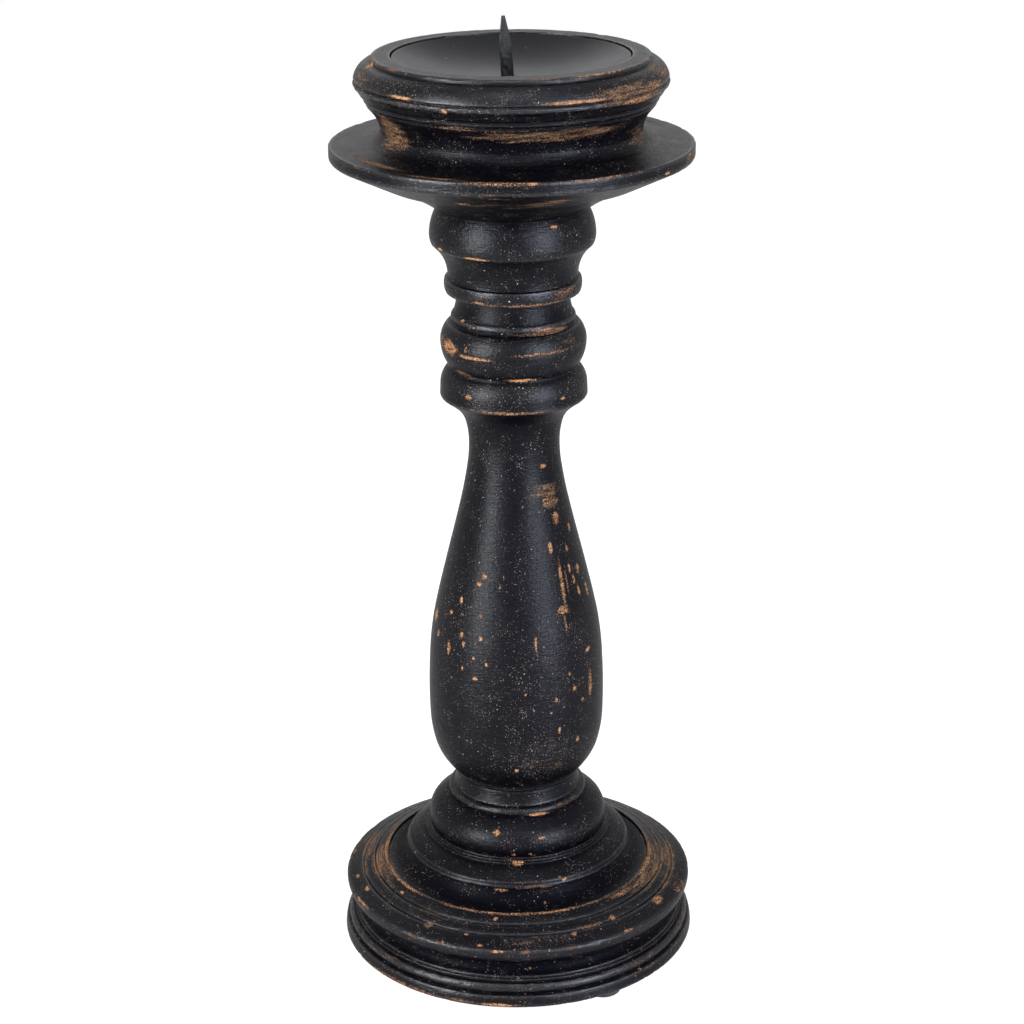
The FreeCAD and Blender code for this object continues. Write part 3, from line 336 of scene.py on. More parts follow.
# Places of wear: azimuth in degrees from the camera's side, positive to the right, radius and height in
# millimetres, half lengths across and along the outline, and strength. Chips show the wood, rubs are worn
# brown and dust is a dense crowd of pinholes.
CHIPS = [
    (24.1, 60.8, 372.9, 14.5, 0.72, 0.9), (51.8, 61, 369.9, 9.7, 1.5, 0.8),
    (-42.5, 60.9, 373, 5.6, 0.64, 1), (-24, 60.9, 369.7, 1.2, 1.09, 1), (-76.5, 55.2, 378.7, 2.8, 2.2, 0.9),
    (38.8, 53.7, 380.6, 13.4, 0.64, 0.8), (13.1, 53.4, 380.7, 5.3, 0.64, 0.7),
    (-80.1, 51.5, 354.8, 5.6, 2.6, 0.6), (22, 53, 358.3, 12.9, 1.2, 0.65), (6, 71.4, 346.3, 1.95, 0.62, 1),
    (-3.7, 70.9, 346.7, 14.6, 1.2, 0.75), (-25.9, 68.9, 346.7, 12.3, 1.3, 0.75),
    (-52.7, 64.6, 346.9, 15.6, 1.5, 0.72), (26.7, 71.1, 346.5, 12.4, 0.64, 0.75),
    (16.2, 62.2, 337.2, 5.4, 1.9, 0.7), (-18.4, 58.1, 335.3, 2.7, 1.9, 0.8),
    (54.5, 71.4, 343.1, 1.72, 0.62, 0.95), (30.8, 31.1, 319, 1.5, 0.62, 1.05),
    (-59.7, 32.6, 307.9, 1.72, 0.62, 1), (-26.1, 32.3, 307.1, 6, 0.64, 0.9),
    (-40.2, 26.1, 295.7, 1.12, 0.62, 0.6), (5.3, 27.1, 287.7, 19.5, 0.64, 0.72),
    (-30.4, 27.2, 288.2, 2.7, 0.64, 0.8), (47, 27.5, 290.6, 5.2, 2.1, 0.62),
    (56.7, 27.4, 291.6, 2.9, 0.64, 0.8), (-54.5, 24.5, 278.3, 1.05, 0.7, 0.9),
    (29.3, 25, 276.6, 6.3, 0.64, 0.8), (50.8, 28.5, 271.3, 3.7, 1.3, 0.6),
    (-61, 29.3, 267.7, 5.7, 2.9, 0.85), (-34.1, 29.3, 266, 8.5, 0.64, 0.95),
    (-40, 29.2, 268.9, 0.75, 1.25, 0.8), (24.5, 29.2, 268.3, 12.9, 0.64, 0.7),
    (8.4, 26.4, 257.4, 6.3, 0.64, 0.95), (-37.2, 29.5, 249.9, 1.5, 1.09, 0.95),
    (40.4, 29.6, 248.7, 1.2, 0.78, 0.95), (-7.1, 29.8, 244.8, 17.4, 0.64, 0.72),
    (37.1, 18.7, 217.7, 1.5, 1.01, 0.9), (40.4, 21.1, 203.6, 3.6, 2.6, 0.7),
    (46.1, 22.8, 195.7, 1.65, 2.7, 0.82), (33.8, 25.5, 184.8, 0.9, 2.9, 0.95),
    (40.1, 29.4, 169.1, 0.98, 10, 0.8), (37, 31.8, 159.1, 3, 2, 0.82), (45.5, 29.3, 170, 0.6, 6, 0.75),
    (37.8, 33.2, 153.5, 0.6, 4, 0.75), (51.2, 28.1, 174.5, 0.75, 1.95, 0.95),
    (54, 29.3, 169.5, 0.75, 2.03, 0.95), (57.6, 30.5, 164.3, 0.83, 2.03, 0.95),
    (63.1, 28.6, 172.6, 1.35, 2.03, 0.9), (70.3, 30.9, 162.7, 1.12, 3.1, 0.85),
    (53, 26, 182.5, 0.68, 1.33, 0.9), (64.9, 24.3, 189.7, 0.9, 1.72, 0.9),
    (56.4, 35.3, 139.3, 1.65, 1.17, 0.95), (57.1, 36.3, 124.5, 1.5, 6.5, 0.76),
    (48.4, 36.5, 118.9, 0.83, 1.01, 0.95), (41, 36.3, 125.4, 0.83, 1.17, 0.95),
    (37.4, 35.9, 132.2, 0.6, 0.7, 0.95), (13.8, 34.2, 147.8, 0.6, 3.3, 0.9),
    (26.8, 36.4, 122.4, 0.6, 1.33, 0.9), (23.1, 36.5, 117.1, 0.6, 0.7, 0.9),
    (28.9, 36.4, 108.6, 0.6, 1.72, 0.95), (44.1, 36.2, 101.7, 0.9, 1.4, 0.95),
    (-0.3, 34.3, 91.2, 0.9, 0.86, 0.95), (-76.3, 33.7, 150.3, 1.8, 2.7, 0.9),
    (-66.9, 34.7, 144.5, 1.05, 1.72, 0.85), (-51.8, 35.1, 141.3, 0.98, 3, 0.9),
    (-53.9, 32.4, 156.2, 1.05, 1.01, 0.9), (-45.2, 31, 162.6, 0.9, 1.64, 0.95),
    (-40.6, 34, 148.9, 0.9, 1.33, 0.95), (-38.2, 34.5, 145.4, 0.75, 1.33, 0.95),
    (-30.3, 28.8, 170.8, 1.2, 0.94, 0.9), (-26.3, 28.1, 174, 1.05, 1.17, 0.9),
    (-25, 33.9, 149.1, 0.98, 1.09, 0.9), (-26.4, 32, 158.4, 0.6, 0.94, 0.9),
    (-38, 35.8, 135.2, 0.6, 1.01, 0.95), (-27.8, 35.9, 132, 1.05, 0.86, 0.95),
    (-20, 35.4, 138.7, 0.6, 1.01, 0.95), (-29.4, 35.2, 140.4, 0.6, 0.86, 0.9),
    (-12.7, 29, 170.7, 0.6, 0.62, 0.85), (5.9, 36.2, 126.6, 0.6, 0.7, 0.9),
    (17.1, 28.9, 67.7, 4.4, 0.8, 0.95), (-14.3, 35.3, 62.5, 1.65, 1.4, 0.95),
    (16.2, 36.7, 60.5, 1.5, 0.62, 0.95), (-2.3, 36.8, 53.7, 0.83, 0.7, 0.95),
    (8.4, 36.7, 53.6, 0.68, 0.62, 0.9), (-0.1, 38.9, 50.8, 2.9, 1.2, 0.8),
    (24.5, 46.9, 45, 1.2, 0.78, 0.95), (-8.9, 46.5, 42.1, 3, 0.64, 0.85),
    (12.7, 50.1, 37.5, 0.68, 0.62, 0.85), (-61, 57, 37.2, 16, 0.8, 0.8), (8.8, 57, 37.2, 28, 0.72, 0.75),
    (-8.2, 57, 37.2, 25, 0.72, 0.75), (80, 57, 37.2, 20, 1.3, 0.8), (48.1, 58.2, 36.2, 7.6, 1.2, 0.75),
    (-9, 59.2, 35.7, 0.98, 0.86, 0.95), (-20, 62.1, 34.3, 0.68, 0.62, 0.9),
    (-18.4, 67.3, 31.9, 0.98, 0.7, 0.9), (19.7, 67.8, 31.7, 1.12, 1.17, 0.95),
    (26.4, 66, 32.4, 6.5, 0.72, 0.6), (36.3, 65.6, 32.7, 1.58, 1.25, 0.8),
    (38.4, 73.2, 29.3, 3.2, 0.64, 0.8), (58.3, 68.9, 31.2, 3.2, 1.9, 0.8), (75, 61.4, 35.4, 12, 1.4, 0.72),
    (-99.2, 72.4, 29.6, 1.8, 1.09, 0.8), (-68.7, 68.7, 31.3, 1.95, 1.01, 0.95),
    (-79.4, 69.8, 30.8, 1.5, 0.86, 0.95), (-54.1, 60.1, 35.3, 1.35, 0.78, 0.9),
    (-12.8, 71.6, 30, 1.27, 0.7, 0.95), (-6.6, 73.5, 29, 2.9, 0.64, 0.95),
    (-1.2, 72.7, 29.5, 0.75, 0.62, 0.85), (9.9, 73.4, 29.1, 0.6, 0.62, 0.9),
    (-63.7, 73.4, 29.2, 5.8, 0.72, 0.8), (-41.5, 75, 4.3, 19.3, 1.3, 0.72),
    (-6.4, 74.9, 4.7, 7.6, 0.64, 0.9), (-19, 74.9, 5, 7.1, 0.64, 0.65), (48.6, 73.1, 11.5, 0.9, 0.62, 0.9),
    (43.2, 73.7, 8.6, 0.9, 0.86, 0.9), (47.2, 70, 14.5, 0.6, 0.62, 0.8), (3.8, 67.5, 17.3, 0.6, 0.62, 0.8),
    (-25.2, 72.8, 29.4, 0.83, 0.62, 0.8), (-79, 62.1, 34.5, 16, 0.7, 0.8), (-84, 66.4, 32.3, 12, 0.6, 0.7),
    (22.1, 46, 46.1, 0.68, 0.62, 0.8),
]
RUBS = [
    (51.3, 60.9, 372.9, 19.3, 3.5, 0.75), (-60.4, 51.8, 355.7, 11.6, 6.5, 0.75),
    (17, 53.9, 359.6, 29.5, 2.9, 0.7), (71.7, 51.8, 350.6, 11.1, 4.7, 0.55),
    (-15.9, 56.4, 362.7, 15.4, 1.3, 0.35), (11.8, 58, 335.2, 8.4, 3.7, 0.6), (-2, 56, 334.4, 27, 4.6, 0.42),
    (-10.1, 67.8, 339.9, 11.2, 3.7, 0.45), (2.2, 71.4, 344.2, 4.4, 0.8, 0.5),
    (34.9, 24.8, 275.3, 12, 1.1, 0.8), (-74, 29.2, 268.3, 3.4, 1.7, 0.9),
    (-47.5, 26.3, 257.2, 5.9, 1.9, 0.6), (37, 20.3, 207.5, 6.5, 3.2, 0.68),
    (43.5, 21.2, 203.4, 3.6, 3.4, 0.95), (75, 57, 377, 8, 4, 0.7), (-72, 58, 376, 9, 5, 0.4),
    (22.5, 35.3, 95.2, 9.9, 5.9, 0.35), (76.6, 59, 36.2, 20, 4, 0.8), (73.3, 68.4, 31.4, 7.4, 5.5, 0.6),
    (92, 66, 33, 16, 3, 0.75), (-79.8, 62, 34.4, 13, 1.0, 0.6), (-82, 66, 32.4, 9, 1.4, 0.45),
    (-33.6, 67.5, 31.8, 1.5, 1.3, 0.8), (5.8, 69.2, 31.1, 11.7, 1.8, 0.4),
    (71.3, 71.4, 343.7, 4.4, 2.5, 0.5),
]
DUST = [
    (43.4, 27.5, 290.6, 9.7, 3.7, 0.5), (43.9, 28.9, 270.1, 7.6, 3.7, 0.4),
    (54.5, 29.1, 252, 7.5, 5.4, 0.4), (18.7, 35.6, 97.2, 13.1, 8.1, 0.6), (48.7, 34.2, 147.8, 5.6, 6, 0.45),
    (-38.5, 33.5, 151.2, 10.4, 21, 0.25), (-43.5, 18.5, 224.2, 5, 5.2, 0.3),
    (18.6, 36.2, 127.8, 17.2, 17.2, 0.25), (5.8, 69.2, 31.1, 11.7, 2.1, 0.7), (-65, 60, 374, 14, 5, 0.35),
    (-25, 60.9, 370.8, 24, 1.5, 0.6), (70, 59.5, 374, 12, 5, 0.45), (-10, 30.5, 250, 14, 5, 0.2),
    (60, 62, 362, 10, 4, 0.25),
]


rng = np.random.default_rng(7)


def everywhere(marks):
    """The marks, and scattered likenesses of them round the back of the stand."""
    behind = []
    for azimuth, radius, height, across, along, strength in marks:
        behind.append((azimuth + 180 + rng.uniform(-25, 25), radius, height + rng.uniform(-0.3, 0.3),
                       across * rng.uniform(0.7, 1.2), along, strength * rng.uniform(0.85, 1.0)))
    return list(marks) + behind


def marked(at, marks):
    """How strongly the marks show at each vertex."""
    azimuth = np.degrees(np.arctan2(at[:, 0], -at[:, 1]))
    radius, height = np.hypot(at[:, 0], at[:, 1]) / MM, at[:, 2] / MM
    total = np.zeros(len(at))
    for mark_azimuth, mark_radius, mark_height, across, along, strength in marks:
        turn = (azimuth - mark_azimuth + 180) % 360 - 180
        side = np.radians(turn) * radius / across
        run = np.hypot(radius - mark_radius, height - mark_height) / along
        reach = np.hypot(side, run)
        total = np.maximum(total, strength * np.clip(1.7 - reach, 0, 1))
    return total


def waves(x, y, z, length, seed, octaves=3):
    """Smooth noise from -1 to 1 with features of about that length in metres."""
    draw = np.random.default_rng(seed)
    total = np.zeros_like(x)
    weight = 0.0
    for octave in range(octaves):
        scale = 2 * math.pi / length * 2**octave
        for _ in range(6):
            way = draw.normal(size=3)
            way *= scale / np.linalg.norm(way) * draw.uniform(0.6, 1.4)
            total += np.sin(way[0] * x + way[1] * y + way[2] * z + draw.uniform(0, 2 * math.pi)) / 2**octave
        weight += math.sqrt(3) / 2**octave
    return total / weight / 1.7


class Tree:
    """A material's nodes, made by short calls."""

    def __init__(self, name):
        self.material = bpy.data.materials.new(name)
        self.material.use_nodes = True
        self.nodes = self.material.node_tree.nodes
        self.links = self.material.node_tree.links
        self.nodes.clear()
        self.output = self.nodes.new("ShaderNodeOutputMaterial")
        self.shader = self.nodes.new("ShaderNodeBsdfPrincipled")
        self.join(self.shader.outputs[0], self.output.inputs["Surface"])

    def join(self, value, socket):
        if isinstance(value, bpy.types.NodeSocket):
            self.links.new(value, socket)
        elif value is not None:
            socket.default_value = value

    def math(self, operation, *values, clamp=False):
        node = self.nodes.new("ShaderNodeMath")
        node.operation = operation
        node.use_clamp = clamp
        for index, value in enumerate(values):
            self.join(value, node.inputs[index])
        return node.outputs[0]

    def step(self, value, low, high):
        """0 below low, 1 above high, smooth between."""
        node = self.nodes.new("ShaderNodeMapRange")
        node.interpolation_type = "SMOOTHSTEP"
        self.join(value, node.inputs["Value"])
        node.inputs["From Min"].default_value = low
        node.inputs["From Max"].default_value = high
        return node.outputs["Result"]

    def mix(self, factor, a, b):
        node = self.nodes.new("ShaderNodeMix")
        node.data_type = "RGBA"
        self.join(factor, node.inputs["Factor"])
        self.join(a, node.inputs[6])
        self.join(b, node.inputs[7])
        return node.outputs[2]

    def noise(self, vector, scale, detail=2.0, roughness=0.5, w=None):
        node = self.nodes.new("ShaderNodeTexNoise")
        node.noise_dimensions = "4D" if w is not None else "3D"
        self.join(vector, node.inputs["Vector"])
        if w is not None:
            self.join(w, node.inputs["W"])
        node.inputs["Scale"].default_value = scale
        node.inputs["Detail"].default_value = detail
        node.inputs["Roughness"].default_value = roughness
        return node.outputs[0]

    def cells(self, vector, scale):
        node = self.nodes.new("ShaderNodeTexVoronoi")
        self.join(vector, node.inputs["Vector"])
        node.inputs["Scale"].default_value = scale
        return node.outputs["Distance"], node.outputs["Color"]

    def place(self):
        """The point in millimetres."""
        coordinates = self.nodes.new("ShaderNodeTexCoord")
        scale = self.nodes.new("ShaderNodeVectorMath")
        scale.operation = "SCALE"
        self.join(coordinates.outputs["Object"], scale.inputs[0])
        scale.inputs["Scale"].default_value = 1000.0
        return scale.outputs[0]

    def split(self, vector):
        node = self.nodes.new("ShaderNodeSeparateXYZ")
        self.join(vector, node.inputs[0])
        return node.outputs[0], node.outputs[1], node.outputs[2]

    def vector(self, x, y, z):
        node = self.nodes.new("ShaderNodeCombineXYZ")
        for value, socket in zip((x, y, z), node.inputs):
            self.join(value, socket)
        return node.outputs[0]

    def layer(self, name):
        node = self.nodes.new("ShaderNodeAttribute")
        node.attribute_name = name
        return node.outputs["Fac"]

    def bump(self, height, distance, strength=1.0):
        node = self.nodes.new("ShaderNodeBump")
        node.inputs["Strength"].default_value = strength
        node.inputs["Distance"].default_value = distance
        self.join(height, node.inputs["Height"])
        self.join(node.outputs[0], self.shader.inputs["Normal"])
        self.join(node.outputs[0], self.shader.inputs["Coat Normal"])

    def set(self, **values):
        for name, value in values.items():
            self.join(value, self.shader.inputs[name.replace("_", " ")])


def color(red, green, blue):
    """A colour from its sRGB numbers, 0 to 255."""
    shares = [value / 255 for value in (red, green, blue)]
    return tuple(v / 12.92 if v <= 10 / 255 else ((v + 0.055) / 1.055) ** 2.4 for v in shares) + (1.0,)


PAINT = color(3, 3, 6)
PAINT_THIN = color(39, 37, 42)
WOOD = color(186, 136, 92)
WOOD_DARK = color(92, 66, 50)
RUBBED = color(60, 47, 39)
RUBBED_LIGHT = color(136, 104, 76)
PINHOLE = color(200, 178, 152)
# Layers of pinholes: cells per millimetre, the hole's share of its cell and how light it is at most.
PINHOLES = ((0.62, 0.15, 1.0), (1.1, 0.2, 0.85), (1.9, 0.26, 0.65))


def worn_paint():
    """Black paint on turned wood: chipped along the edges, rubbed brown in places, full of pinholes, and
    darkened in its hollows as painted shade.
    """
    tree = Tree("worn_black_paint")
    place = tree.place()
    x, y, z = tree.split(place)

    def round_the_turning(squeeze, scale, detail):
        """Noise drawn out round the stand's axis, its features 1 / scale millimetres high."""
        line = tree.vector(tree.math("MULTIPLY", x, squeeze), tree.math("MULTIPLY", y, squeeze), z)
        return tree.noise(line, scale, detail, 0.62, w=tree.math("MULTIPLY", radius, scale))

    def off(value, amount):
        """The noise about zero, that many times."""
        return tree.math("MULTIPLY_ADD", value, amount, -0.5 * amount)

    radius = tree.math("SQRT", tree.math("ADD", tree.math("MULTIPLY", x, x), tree.math("MULTIPLY", y, y)))
    streak = round_the_turning(0.12, 0.6, 4.0)
    fine_streak = round_the_turning(0.15, 1.6, 3.0)
    edge_noise = round_the_turning(0.3, 0.55, 5.0)
    broad = tree.noise(place, 0.035, 2.0, 0.5)
    patchy = tree.noise(place, 0.16, 3.0, 0.55)
    ragged = tree.noise(place, 0.55, 5.0, 0.65)
    grit = tree.noise(place, 1.7, 3.0, 0.65)
    peel = tree.noise(place, 0.8, 3.0, 0.65)
    dusting = tree.noise(place, 2.5, 2.0, 0.7)
    edge, chip, rub, dust, hollow = (tree.layer(name) for name in ("edge", "chip", "rub", "dust", "hollow"))

    chance = tree.math("ADD", off(patchy, 1.0), off(broad, 1.4))
    along_edge = tree.math("ADD", tree.math("MULTIPLY_ADD", chance, 0.8, 0.3), off(edge_noise, 1.7))
    along_edge = tree.math("MULTIPLY", edge, tree.math("ADD", along_edge, off(grit, 0.7)))
    broken = tree.math("ADD", tree.math("ADD", off(edge_noise, 1.3), off(ragged, 1.2)), off(grit, 2.6))
    chipped = tree.math("MULTIPLY_ADD", broken, tree.step(chip, 0.0, 0.35), chip)
    chipped = tree.math("MAXIMUM", chipped, along_edge)
    bare = tree.step(chipped, 0.58, 0.7)

    rubbed = tree.math("ADD", rub, tree.math("ADD", off(streak, 2.0), off(grit, 1.1)))
    rubbed = tree.math("MULTIPLY_ADD", edge, 0.25, rubbed)
    worn = tree.math("MULTIPLY", tree.step(rubbed, 0.45, 0.95), 0.85)

    share = tree.math("ADD", tree.math("MULTIPLY_ADD", tree.step(patchy, 0.46, 0.7), 0.6, 0.09), dust)
    holes = []
    for scale, size, most in PINHOLES:
        distance, random_color = tree.cells(place, scale)
        chosen, lightness, _ = tree.split(random_color)
        distance = tree.math("ADD", distance, off(grit, 0.35))
        inside = tree.step(distance, size, size * 0.5)
        shown = tree.math("MULTIPLY", tree.math("LESS_THAN", chosen, share), inside)
        glow = tree.math("MULTIPLY_ADD", tree.math("POWER", lightness, 2.2), most * 0.86, most * 0.12)
        holes.append(tree.math("MULTIPLY", shown, glow))
    hole = tree.math("MAXIMUM", tree.math("MAXIMUM", holes[0], holes[1]), holes[2])

    thinned = tree.math("ADD", dusting, off(patchy, 0.15))
    thinned = tree.math("ADD", thinned, tree.math("MULTIPLY", dust, 0.12))
    # Painted shade: where the hollow layer is high, the black replaces the lighter thin paint and the coat
    # weakens.
    unshaded = tree.math("MULTIPLY_ADD", hollow, -0.9, 1.0)
    paint = tree.mix(tree.math("MULTIPLY", unshaded, tree.step(thinned, 0.54, 0.76)), PAINT, PAINT_THIN)
    tone = tree.math("ADD", off(fine_streak, 1.2), off(grit, 1.6))
    tone = tree.math("ADD", tree.math("MAXIMUM", chip, off(broad, 2.0)), tone)
    wood = tree.mix(tree.step(tone, 0.62, 1.25), WOOD_DARK, WOOD)
    lighter = tree.step(tree.math("ADD", off(fine_streak, 1.0), grit), 0.42, 0.66)
    surface = tree.mix(worn, paint, tree.mix(lighter, RUBBED, RUBBED_LIGHT))
    surface = tree.mix(hole, surface, PINHOLE)
    surface = tree.mix(bare, surface, wood)

    dull = tree.math("MAXIMUM", tree.math("MAXIMUM", worn, bare), hole)
    polish = tree.math("MULTIPLY", unshaded, tree.math("MULTIPLY_ADD", edge, 0.12, 0.046))
    height = tree.math("MULTIPLY_ADD", fine_streak, 1.1, tree.math("MULTIPLY", peel, 0.8))
    height = tree.math("MULTIPLY_ADD", grit, 0.45, height)
    height = tree.math("MULTIPLY_ADD", bare, -0.8, tree.math("MULTIPLY_ADD", hole, -0.6, height))
    tree.set(Base_Color=surface, Specular_IOR_Level=0.026, Specular_Tint=(0.72, 0.74, 1.0, 1.0),
             Roughness=tree.math("MULTIPLY_ADD", dull, 0.25, tree.math("MULTIPLY_ADD", patchy, 0.2, 0.32)),
             Coat_Weight=tree.math("MULTIPLY", tree.math("MULTIPLY_ADD", dull, -0.75, 1.0), polish),
             Coat_IOR=2.5, Coat_Roughness=0.19)
    tree.bump(height, 0.0002, 1.0)
    return tree.material


def bare_wood():
    tree = Tree("bare_beech")
    place = tree.place()
    x, y, z = tree.split(place)
    drawn = tree.vector(x, y, tree.math("MULTIPLY", z, 0.06))
    grain = tree.noise(drawn, 0.8, 4.0, 0.6)
    tree.set(Base_Color=tree.mix(grain, color(150, 112, 76), color(205, 172, 130)), Roughness=0.65)
    tree.bump(grain, 0.0002, 0.5)
    return tree.material


def pan_steel():
    tree = Tree("pan_grey_steel")
    place = tree.place()
    cloud = tree.noise(place, 0.06, 3.0, 0.55)
    grit = tree.noise(place, 2.2, 3.0, 0.6)
    distance, random_color = tree.cells(place, 0.35)
    chosen = tree.split(random_color)[0]
    speck = tree.math("MULTIPLY", tree.math("LESS_THAN", chosen, 0.12), tree.step(distance, 0.16, 0.08))
    base = tree.mix(cloud, color(11, 11, 13), color(20, 20, 23))
    tree.set(Base_Color=tree.mix(tree.math("MULTIPLY", speck, 0.5), base, color(120, 118, 114)),
             Roughness=tree.math("MULTIPLY_ADD", cloud, 0.15, 0.42), Specular_IOR_Level=0.15)
    tree.bump(grit, 0.00006, 0.6)
    return tree.material


def spike_iron():
    tree = Tree("spike_blackened_iron")
    place = tree.place()
    cloud = tree.noise(place, 0.5, 4.0, 0.6)
    drawn = [tree.math("MULTIPLY", v, k) for v, k in zip(tree.split(place), (3.0, 3.0, 0.3))]
    scratch = tree.noise(tree.vector(*drawn), 1.0, 3.0, 0.6)
    tree.set(Base_Color=tree.mix(cloud, color(2, 2, 4), color(14, 14, 18)), Specular_IOR_Level=0.05,
             Roughness=0.4, Coat_Weight=0.14, Coat_IOR=2.5, Coat_Roughness=0.16)
    tree.bump(tree.math("ADD", scratch, cloud), 0.0007, 1.0)
    return tree.material


def zinc():
    tree = Tree("dull_zinc")
    place = tree.place()
    cloud = tree.noise(place, 0.7, 3.0, 0.6)
    tree.set(Base_Color=tree.mix(cloud, color(150, 150, 148), color(184, 184, 180)), Metallic=1.0,
             Roughness=tree.math("MULTIPLY_ADD", cloud, 0.3, 0.3))
    tree.bump(cloud, 0.00004, 0.5)
    return tree.material


def glide_plastic():
    tree = Tree("glide_black_plastic")
    place = tree.place()
    grit = tree.noise(place, 2.5, 2.0, 0.5)
    tree.set(Base_Color=tree.mix(grit, color(20, 20, 21), color(36, 36, 37)), Roughness=0.55)
    tree.bump(grit, 0.00008, 0.6)
    return tree.material


PAINTED = worn_paint()
FINISHES = {
    "painted_wood": PAINTED,
    "bare_wood": bare_wood(),
    "pan_steel": pan_steel(),
    "spike_iron": spike_iron(),
    "zinc_steel": zinc(),
    "glide_plastic": glide_plastic(),
}
for row in frame["record"]["subparts"]:
    node = nodes[row["node"]]
    finish = FINISHES[row["material_slot"]]
    if not node.data.materials:
        node.data.materials.append(finish)
    for index in range(len(node.data.materials)):
        node.data.materials[index] = finish


def hang(piece, slot, material, *replaced):
    """A finished piece rides on the stand and takes the place of its CAD nodes."""
    piece.data.materials.append(material)
    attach(piece, "root")
    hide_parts(*replaced)


def dent(piece, at, out, edge):
    """Wear the edges down unevenly, always inward."""
    x, y, z = at.T
    depth = np.clip(waves(x, y, 2.5 * z, 0.009, 3) - 0.15, 0, 1) * 0.3
    depth += np.clip(waves(x, y, 2.5 * z, 0.0035, 4) - 0.35, 0, 1) * 0.25
    depth *= edge * MM
    flat = np.maximum(np.hypot(x, y), TINY)
    moved = at - np.stack([out[:, 0] * x / flat, out[:, 0] * y / flat, out[:, 1]], -1) * depth[:, None]
    piece.data.vertices.foreach_set("co", moved.ravel())
    piece.data.update()


# Painted shade: how strongly each turning's paint is darkened and its coat dulled at most, in its hollows,
# and at least, all over it.
PAINTED_SHADE = {
    "base_plinth": (1.0, 0.15), "base_pedestal": (1.0, 0.42),
    "column": (0.45, 0.05), "candle_cup": (0.1, 0.0),
}
# In millimetres: how proud a point is on a full edge and how hollow one is in a full hollow.
FULL_EDGE = 0.12
FULL_HOLLOW = 0.4
CHIPS, RUBS, DUST = everywhere(CHIPS), everywhere(RUBS), everywhere(DUST)
for node_name, (points, rise, segments, closed) in TURNINGS.items():
    line, kept = soften(points, closed)
    piece, at, (out, proud, hollow) = lathe(node_name + "_turned", line, kept, segments, closed, rise)
    edge = np.clip(proud / FULL_EDGE, 0, 1)
    most, least = PAINTED_SHADE[node_name]
    # The hollow layer carries the painted shade, from the turning's least in the open to its most in full
    # hollows.
    keep_values(piece, edge=edge, chip=marked(at, CHIPS), rub=marked(at, RUBS), dust=marked(at, DUST),
                hollow=least + (most - least) * np.clip(hollow / FULL_HOLLOW, 0, 1))
    dent(piece, at, out, edge)
    hang(piece, "painted_wood", PAINTED, node_name)

line, kept = soften(pan_points, False)
pan = lathe("candle_pan_pressed", line, kept, PAN_SEGMENTS, False, cup_z)[0]
hang(pan, "pan_steel", FINISHES["pan_steel"], "candle_pan")


def looked_at(nodes, links):
    """1 where the camera, a reflection or glass looks, else 0."""
    paths = nodes.new("ShaderNodeLightPath")
    found = paths.outputs["Is Camera Ray"]
    for name in ("Is Glossy Ray", "Is Transmission Ray"):
        either = nodes.new("ShaderNodeMath")
        either.operation = "MAXIMUM"
        links.new(found, either.inputs[0])
        links.new(paths.outputs[name], either.inputs[1])
        found = either.outputs[0]
    return found


AMBIENT = 0.22
world = bpy.data.worlds.new("studio")
scene.world = world
world.use_nodes = True
sky = world.node_tree
sky.nodes.clear()
strength = sky.nodes.new("ShaderNodeMapRange")
sky.links.new(looked_at(sky.nodes, sky.links), strength.inputs["Value"])
strength.inputs["To Min"].default_value = AMBIENT
strength.inputs["To Max"].default_value = 1.0
background = sky.nodes.new("ShaderNodeBackground")
background.inputs["Color"].default_value = (1, 1, 1, 1)
sky.links.new(strength.outputs[0], background.inputs["Strength"])
result = sky.nodes.new("ShaderNodeOutputWorld")
sky.links.new(background.outputs[0], result.inputs["Surface"])

FLOOR = 6.0
floor_mesh = bpy.data.meshes.new("floor")
corners = [(-FLOOR, -FLOOR, 0), (FLOOR, -FLOOR, 0), (FLOOR, FLOOR, 0), (-FLOOR, FLOOR, 0)]
floor_mesh.from_pydata(corners, [], [(0, 1, 2, 3)])
floor = bpy.data.objects.new("floor", floor_mesh)
scene.collection.objects.link(floor)
ground = Tree("pale_floor")
seen = looked_at(ground.nodes, ground.links)
ground.set(Base_Color=ground.mix(seen, (0.8, 0.8, 0.8, 1), (0.34, 0.34, 0.34, 1)), Roughness=0.9,
           Specular_IOR_Level=0.0, Emission_Color=(1, 1, 1, 1),
           Emission_Strength=ground.math("MULTIPLY", seen, 0.9))
floor_mesh.materials.append(ground.material)


LAMP_DISTANCE = 1.5


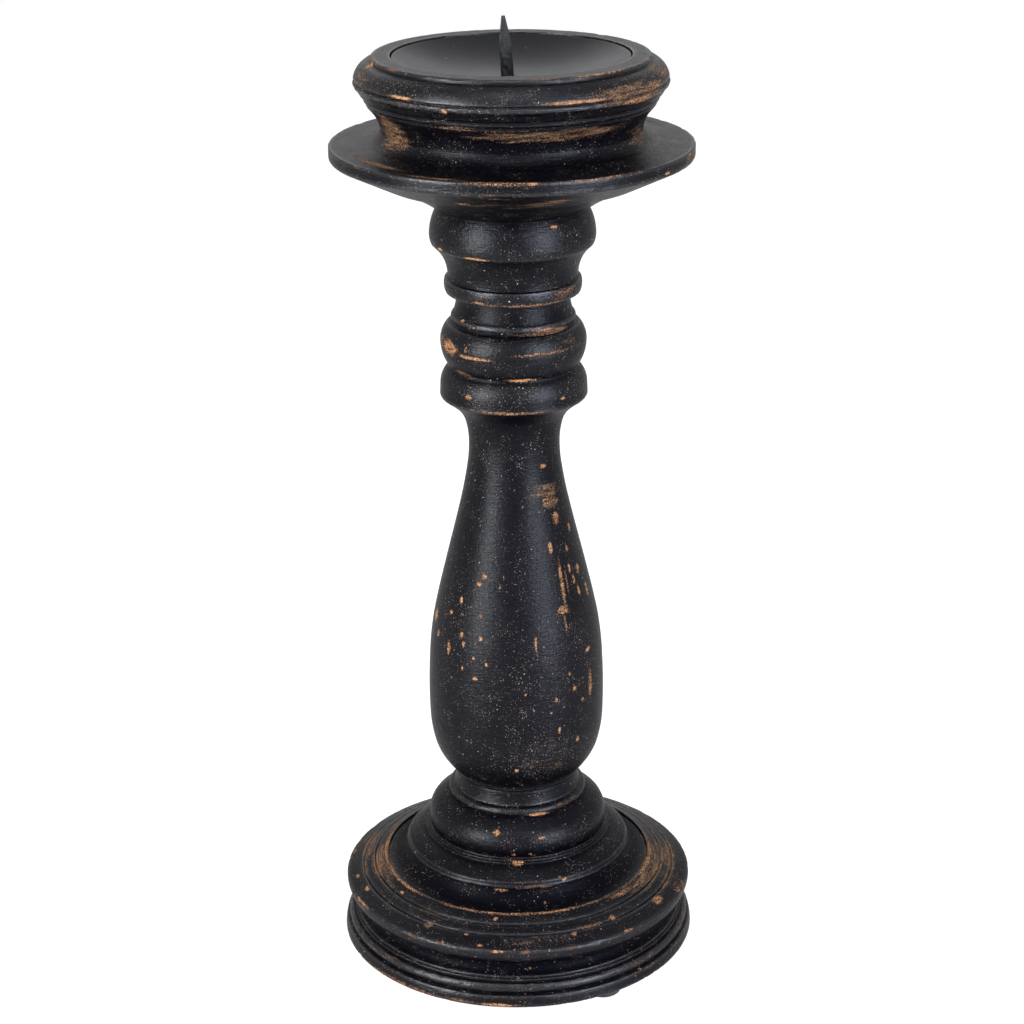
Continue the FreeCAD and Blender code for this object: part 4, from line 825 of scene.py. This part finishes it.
def softbox(name, azimuth, elevation, width, height, watts, tint, aim=0.2):
    """A rectangular lamp that points at the stand's axis, at the height aim. Azimuth from the camera's
    side (-Y), positive to the right."""
    a, e = math.radians(azimuth), math.radians(elevation)
    target = Vector((0, 0, aim))
    way = Vector((math.sin(a) * math.cos(e), -math.cos(a) * math.cos(e), math.sin(e)))
    at = way * LAMP_DISTANCE + target
    lamp = bpy.data.lights.new(name, "AREA")
    lamp.shape = "RECTANGLE"
    lamp.size = width
    lamp.size_y = height
    lamp.energy = watts
    lamp.color = tint
    holder = bpy.data.objects.new(name, lamp)
    holder.location = at
    holder.rotation_euler = (target - at).to_track_quat("-Z", "Y").to_euler()
    scene.collection.objects.link(holder)


softbox("key_left", -50, 12, 0.46, 1.1, 37, (0.93, 0.96, 1.0))
softbox("key_right", 44, 12, 0.46, 1.1, 33, (0.78, 0.85, 1.0))
softbox("back", 182, 27, 1.1, 0.5, 5, (0.97, 0.98, 1.0), aim=0.34)
softbox("top", 0, 64, 0.45, 0.45, 7, (0.9, 0.94, 1.0), aim=0.25)

# The photograph's camera: place in metres, angles in degrees, focal length and shift in its 1024 pixels.
CAMERA_DISTANCE = 0.9511
CAMERA_HEIGHT = 0.5502 + PAD_HEIGHT * MM
LOOKING_DOWN = 20.795
ROLL = -0.476
FOCAL_PIXELS = 2476.54
SHIFT_PIXELS = -2.9
FRAME_PIXELS = 1024
SENSOR = 36.0
camera_data = bpy.data.cameras.new("camera")
camera_data.sensor_width = SENSOR
camera_data.lens = FOCAL_PIXELS / FRAME_PIXELS * SENSOR
camera_data.shift_x = SHIFT_PIXELS / FRAME_PIXELS
camera = bpy.data.objects.new("camera", camera_data)
camera.location = (0, -CAMERA_DISTANCE, CAMERA_HEIGHT)
camera.rotation_mode = "XYZ"
down = math.radians(LOOKING_DOWN)
view = Vector((0, math.cos(down), -math.sin(down)))
turned = view.to_track_quat("-Z", "Y").to_matrix() @ Matrix.Rotation(math.radians(ROLL), 3, "Z")
camera.rotation_euler = turned.to_euler()
scene.collection.objects.link(camera)
scene.camera = camera

scene.view_settings.view_transform = "Standard"
